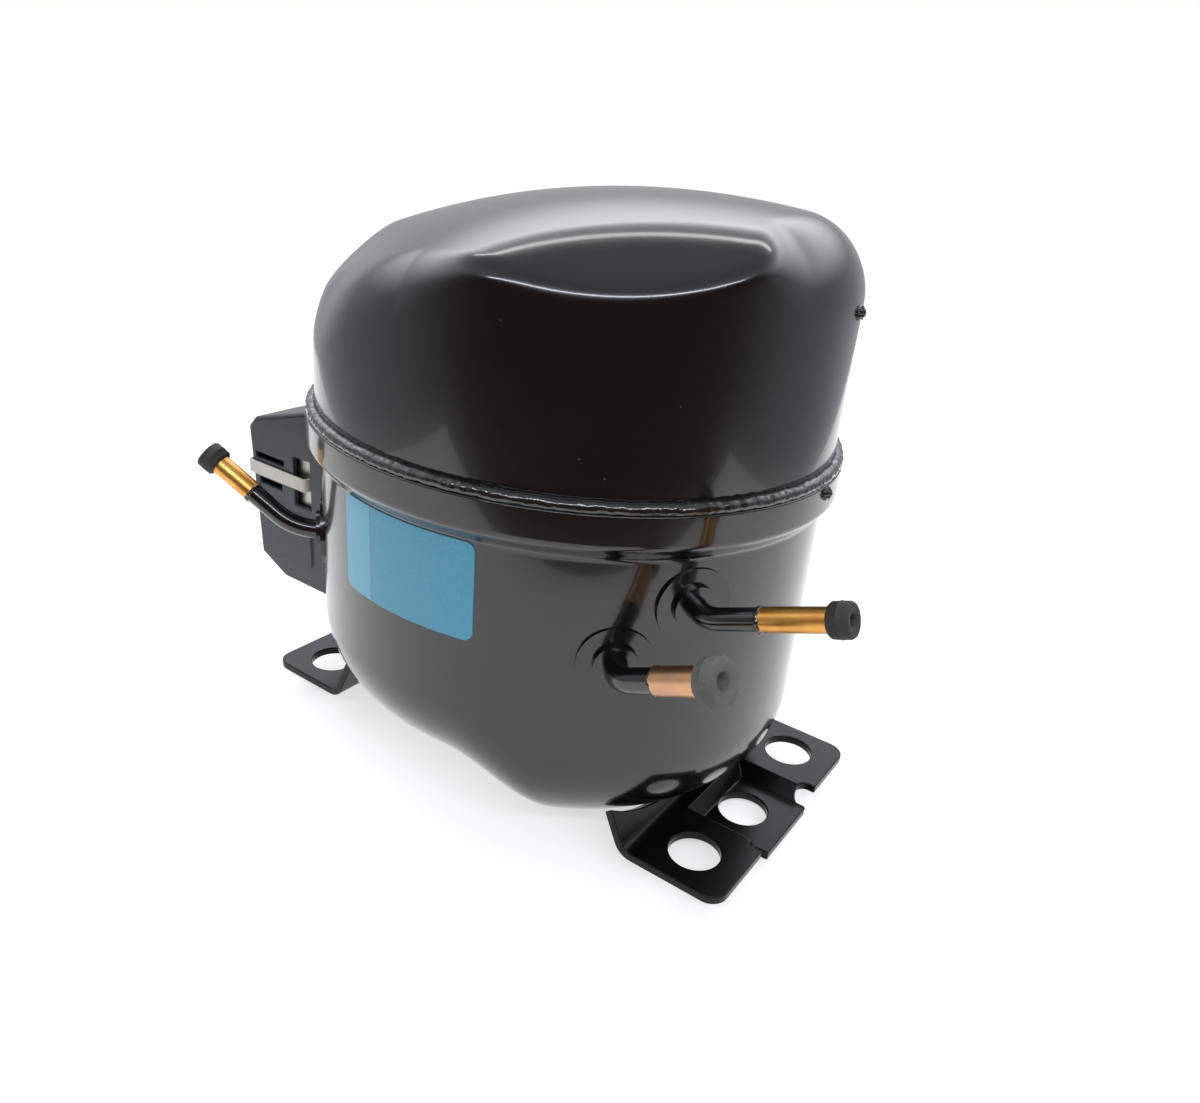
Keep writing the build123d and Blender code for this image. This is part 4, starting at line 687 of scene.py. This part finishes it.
# ---- Rating label ------------------------------------------------------------------------------
# Printed film stuck on the wall: a light blue ground with one thin rule, left without any print,
# under a clear gloss layer that shows the wall's waves.
def label_finish():
    """Blue print under clear film; the ground is a little lighter left of the rule."""
    material, tree, out = new_material("blue_label_film")
    place = put(tree, "ShaderNodeTexCoord").outputs["Object"]
    along = put(tree, "ShaderNodeSeparateXYZ", links={0: place}).outputs["X"]
    part = put(tree, "ShaderNodeMapRange", values={"From Min": -0.0135, "From Max": -0.0133},
               links={"Value": along})
    ground = put(tree, "ShaderNodeMix", {"data_type": "RGBA"},
                 {6: linear("#55b1cc"), 7: linear("#339abb")},
                 {0: part.outputs[0]})
    near = put(tree, "ShaderNodeMath", {"operation": "COMPARE"}, {1: -0.0134, 2: 0.00018}, {0: along})
    ruled = put(tree, "ShaderNodeMix", {"data_type": "RGBA"}, {7: linear("#2d7c98")},
                {0: near.outputs[0], 6: ground.outputs[2]})
    ink = put(tree, "ShaderNodeTexNoise", values={"Scale": 1 / 0.0009, "Detail": 3.0},
              links={"Vector": place})
    grain = put(tree, "ShaderNodeMath", {"operation": "MULTIPLY"}, {1: 0.10}, {0: ink.outputs["Fac"]})
    tint = put(tree, "ShaderNodeMix", {"data_type": "RGBA"}, {7: linear("#ffffff")},
               {0: grain.outputs[0], 6: ruled.outputs[2]})
    waves = put(tree, "ShaderNodeTexNoise", values={"Scale": 1 / 0.008, "Detail": 1.0},
                links={"Vector": place})
    bump = put(tree, "ShaderNodeBump", values={"Strength": 1.0, "Distance": 0.00012},
               links={"Height": waves.outputs["Fac"]})
    shader = put(tree, "ShaderNodeBsdfPrincipled", values={"Roughness": 0.34, "Coat Weight": 0.1,
                                                          "Coat Roughness": 0.12, "IOR": 1.49},
                 links={"Base Color": tint.outputs[2], "Normal": bump.outputs[0]})
    tree.links.new(shader.outputs[0], out.inputs["Surface"])
    return material


paint_node("rating_label", label_finish())

# ---- Terminal bay ------------------------------------------------------------------------------
# A welded fence round the glass-sealed terminal, with an earth screw, the starting relay and the
# overload protector pushed on the pins: zinc-plated steel and black phenolic mouldings.
zinc = wave_metal("zinc_plated_steel", "#c3c4bf", "#a9aaa4", 0.30, 0.0018, 0.00003)
phenolic = moulded("black_phenolic", "#151516", "#222224", 0.42, 0.0004, 0.00003)
polished = wave_metal("ground_steel", "#d2d3d5", "#bfc0c4", 0.14, 0.0004, 0.000004)
for name in ("terminal_body", "terminal_fence", "earth_screw"):
    paint_node(name, zinc)
paint_node("terminal_pins", polished)
for name, title in (("start_relay", "relay_moulding"), ("overload_protector", "protector_moulding")):
    device = eased(name, title, 0.0003)
    device.data.materials.clear()
    device.data.materials.append(phenolic)
    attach(device, "shell")
    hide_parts(name)

# ---- Terminal cover and strap ------------------------------------------------------------------
# A box injection-moulded in dark grey glass-filled nylon, held by a cream acetal strap that hooks
# through its side windows. The nylon is satin, with faint flow marks.
nylon = moulded("dark_grey_nylon", "#2a2d31", "#33373c", 0.34, 0.0005, 0.00004)
acetal = moulded("cream_acetal", "#dddbd0", "#cfcdc2", 0.40, 0.0006, 0.00003)
box = eased("terminal_cover", "terminal_cover_moulding", 0.0005)
strap = eased("cover_clip", "cover_strap", 0.00018)
for piece, node, finish, slot in ((box, "terminal_cover", nylon, "cover_plastic"),
                                  (strap, "cover_clip", acetal, "strap_plastic")):
    piece.data.materials.clear()
    piece.data.materials.append(finish)
    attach(piece, "cover")
    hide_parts(node)


# ---- Motor -------------------------------------------------------------------------------------
# A stack of 0.5 mm electrical steel sheets round enamelled copper coils, and a rotor of the same
# sheets with a cage of aluminium cast through it. The sheets show as fine lines round the stack.
def layered(name, first, second, pitch, along, metallic, gloss, depth):
    """Sheets or wires side by side: bands across one axis, at a pitch in metres."""
    material, tree, out = new_material(name)
    place = put(tree, "ShaderNodeTexCoord").outputs["Object"]
    bands = put(tree, "ShaderNodeTexWave", {"bands_direction": along},
                {"Scale": 1 / pitch / 3.1831, "Distortion": 0.15, "Detail": 1.0}, {"Vector": place})
    soil = put(tree, "ShaderNodeTexNoise", values={"Scale": 1 / 0.005, "Detail": 4.0},
               links={"Vector": place})
    share = put(tree, "ShaderNodeMath", {"operation": "MULTIPLY"}, links={0: bands.outputs["Fac"],
                                                                          1: soil.outputs["Fac"]})
    tint = put(tree, "ShaderNodeMix", {"data_type": "RGBA"}, {6: linear(first), 7: linear(second)},
               {0: share.outputs[0]})
    bump = put(tree, "ShaderNodeBump", values={"Strength": 1.0, "Distance": depth},
               links={"Height": bands.outputs["Fac"]})
    shader = put(tree, "ShaderNodeBsdfPrincipled", values={"Metallic": metallic, "Roughness": gloss},
                 links={"Base Color": tint.outputs[2], "Normal": bump.outputs[0]})
    tree.links.new(shader.outputs[0], out.inputs["Surface"])
    return material


sheets = layered("stacked_electrical_steel", "#5a5f68", "#8b9098", 0.0005, "Z", 1.0, 0.42, 0.00008)
wires = layered("enamelled_copper_wire", "#7c3c1c", "#c07035", 0.0009, "Z", 0.6, 0.30, 0.0003)
cast_aluminium = wave_metal("cast_aluminium", "#c9cacb", "#b4b6b8", 0.42, 0.0009, 0.00006)
paint_node("stator_core", sheets)
paint_node("rotor_core", sheets)
paint_node("stator_winding", wires)
paint_node("rotor_cage", cast_aluminium)
paint_node("balance_weight", zinc)

# ---- Pump --------------------------------------------------------------------------------------
# Crankshaft and crankcase of machined grey iron, rod and piston of sintered steel, ground pin,
# bronze bush and washer, and the valve stack screwed on with a cast head.
grey_iron = wave_metal("machined_grey_iron", "#4e4f50", "#626364", 0.40, 0.0007, 0.00005)
sintered = wave_metal("sintered_steel", "#6f7072", "#5d5e60", 0.48, 0.0003, 0.00002)
bronze = wave_metal("bearing_bronze", "#b98a4a", "#a67a3e", 0.30, 0.0005, 0.00002)
blued = wave_metal("blued_spring_steel", "#6b6e76", "#565a66", 0.26, 0.0006, 0.00001)
fibre = moulded("gasket_fibre", "#37433c", "#445047", 0.75, 0.0005, 0.00004)
for finish, names in ((grey_iron, ("crankshaft", "crankcase")),
                      (sintered, ("piston", "connecting_rod", "valve_plate")), (polished, ("wrist_pin",)),
                      (bronze, ("big_end_bush", "thrust_washer")), (cast_aluminium, ("cylinder_head",)),
                      (blued, ("suction_reed", "discharge_reed")),
                      (fibre, ("cylinder_gasket", "head_gasket")),
                      (zinc, ("stator_bolts", "head_screws", "reed_stop", "oil_pickup"))):
    for name in names:
        paint_node(name, finish)

# ---- Mufflers, loop, springs and leads ----------------------------------------------------------
# White nylon suction muffler, pressed steel discharge muffler and its long steel loop, four coil
# springs on pressed seats with rubber caps, and the plug with its insulated leads.
white_nylon = moulded("white_nylon", "#dcdcd4", "#cfcfc6", 0.45, 0.0005, 0.00003)
insulation = moulded("lead_insulation", "#c2501c", "#ab4416", 0.50, 0.0004, 0.00003)
for finish, names in ((white_nylon, ("suction_muffler", "cluster_plug")),
                      (zinc, ("discharge_muffler", "discharge_loop", "lower_spring_seats")),
                      (blued, ("suspension_springs",)), (plug_rubber, ("upper_spring_caps",)),
                      (insulation, ("motor_leads",))):
    for name in names:
        paint_node(name, finish)
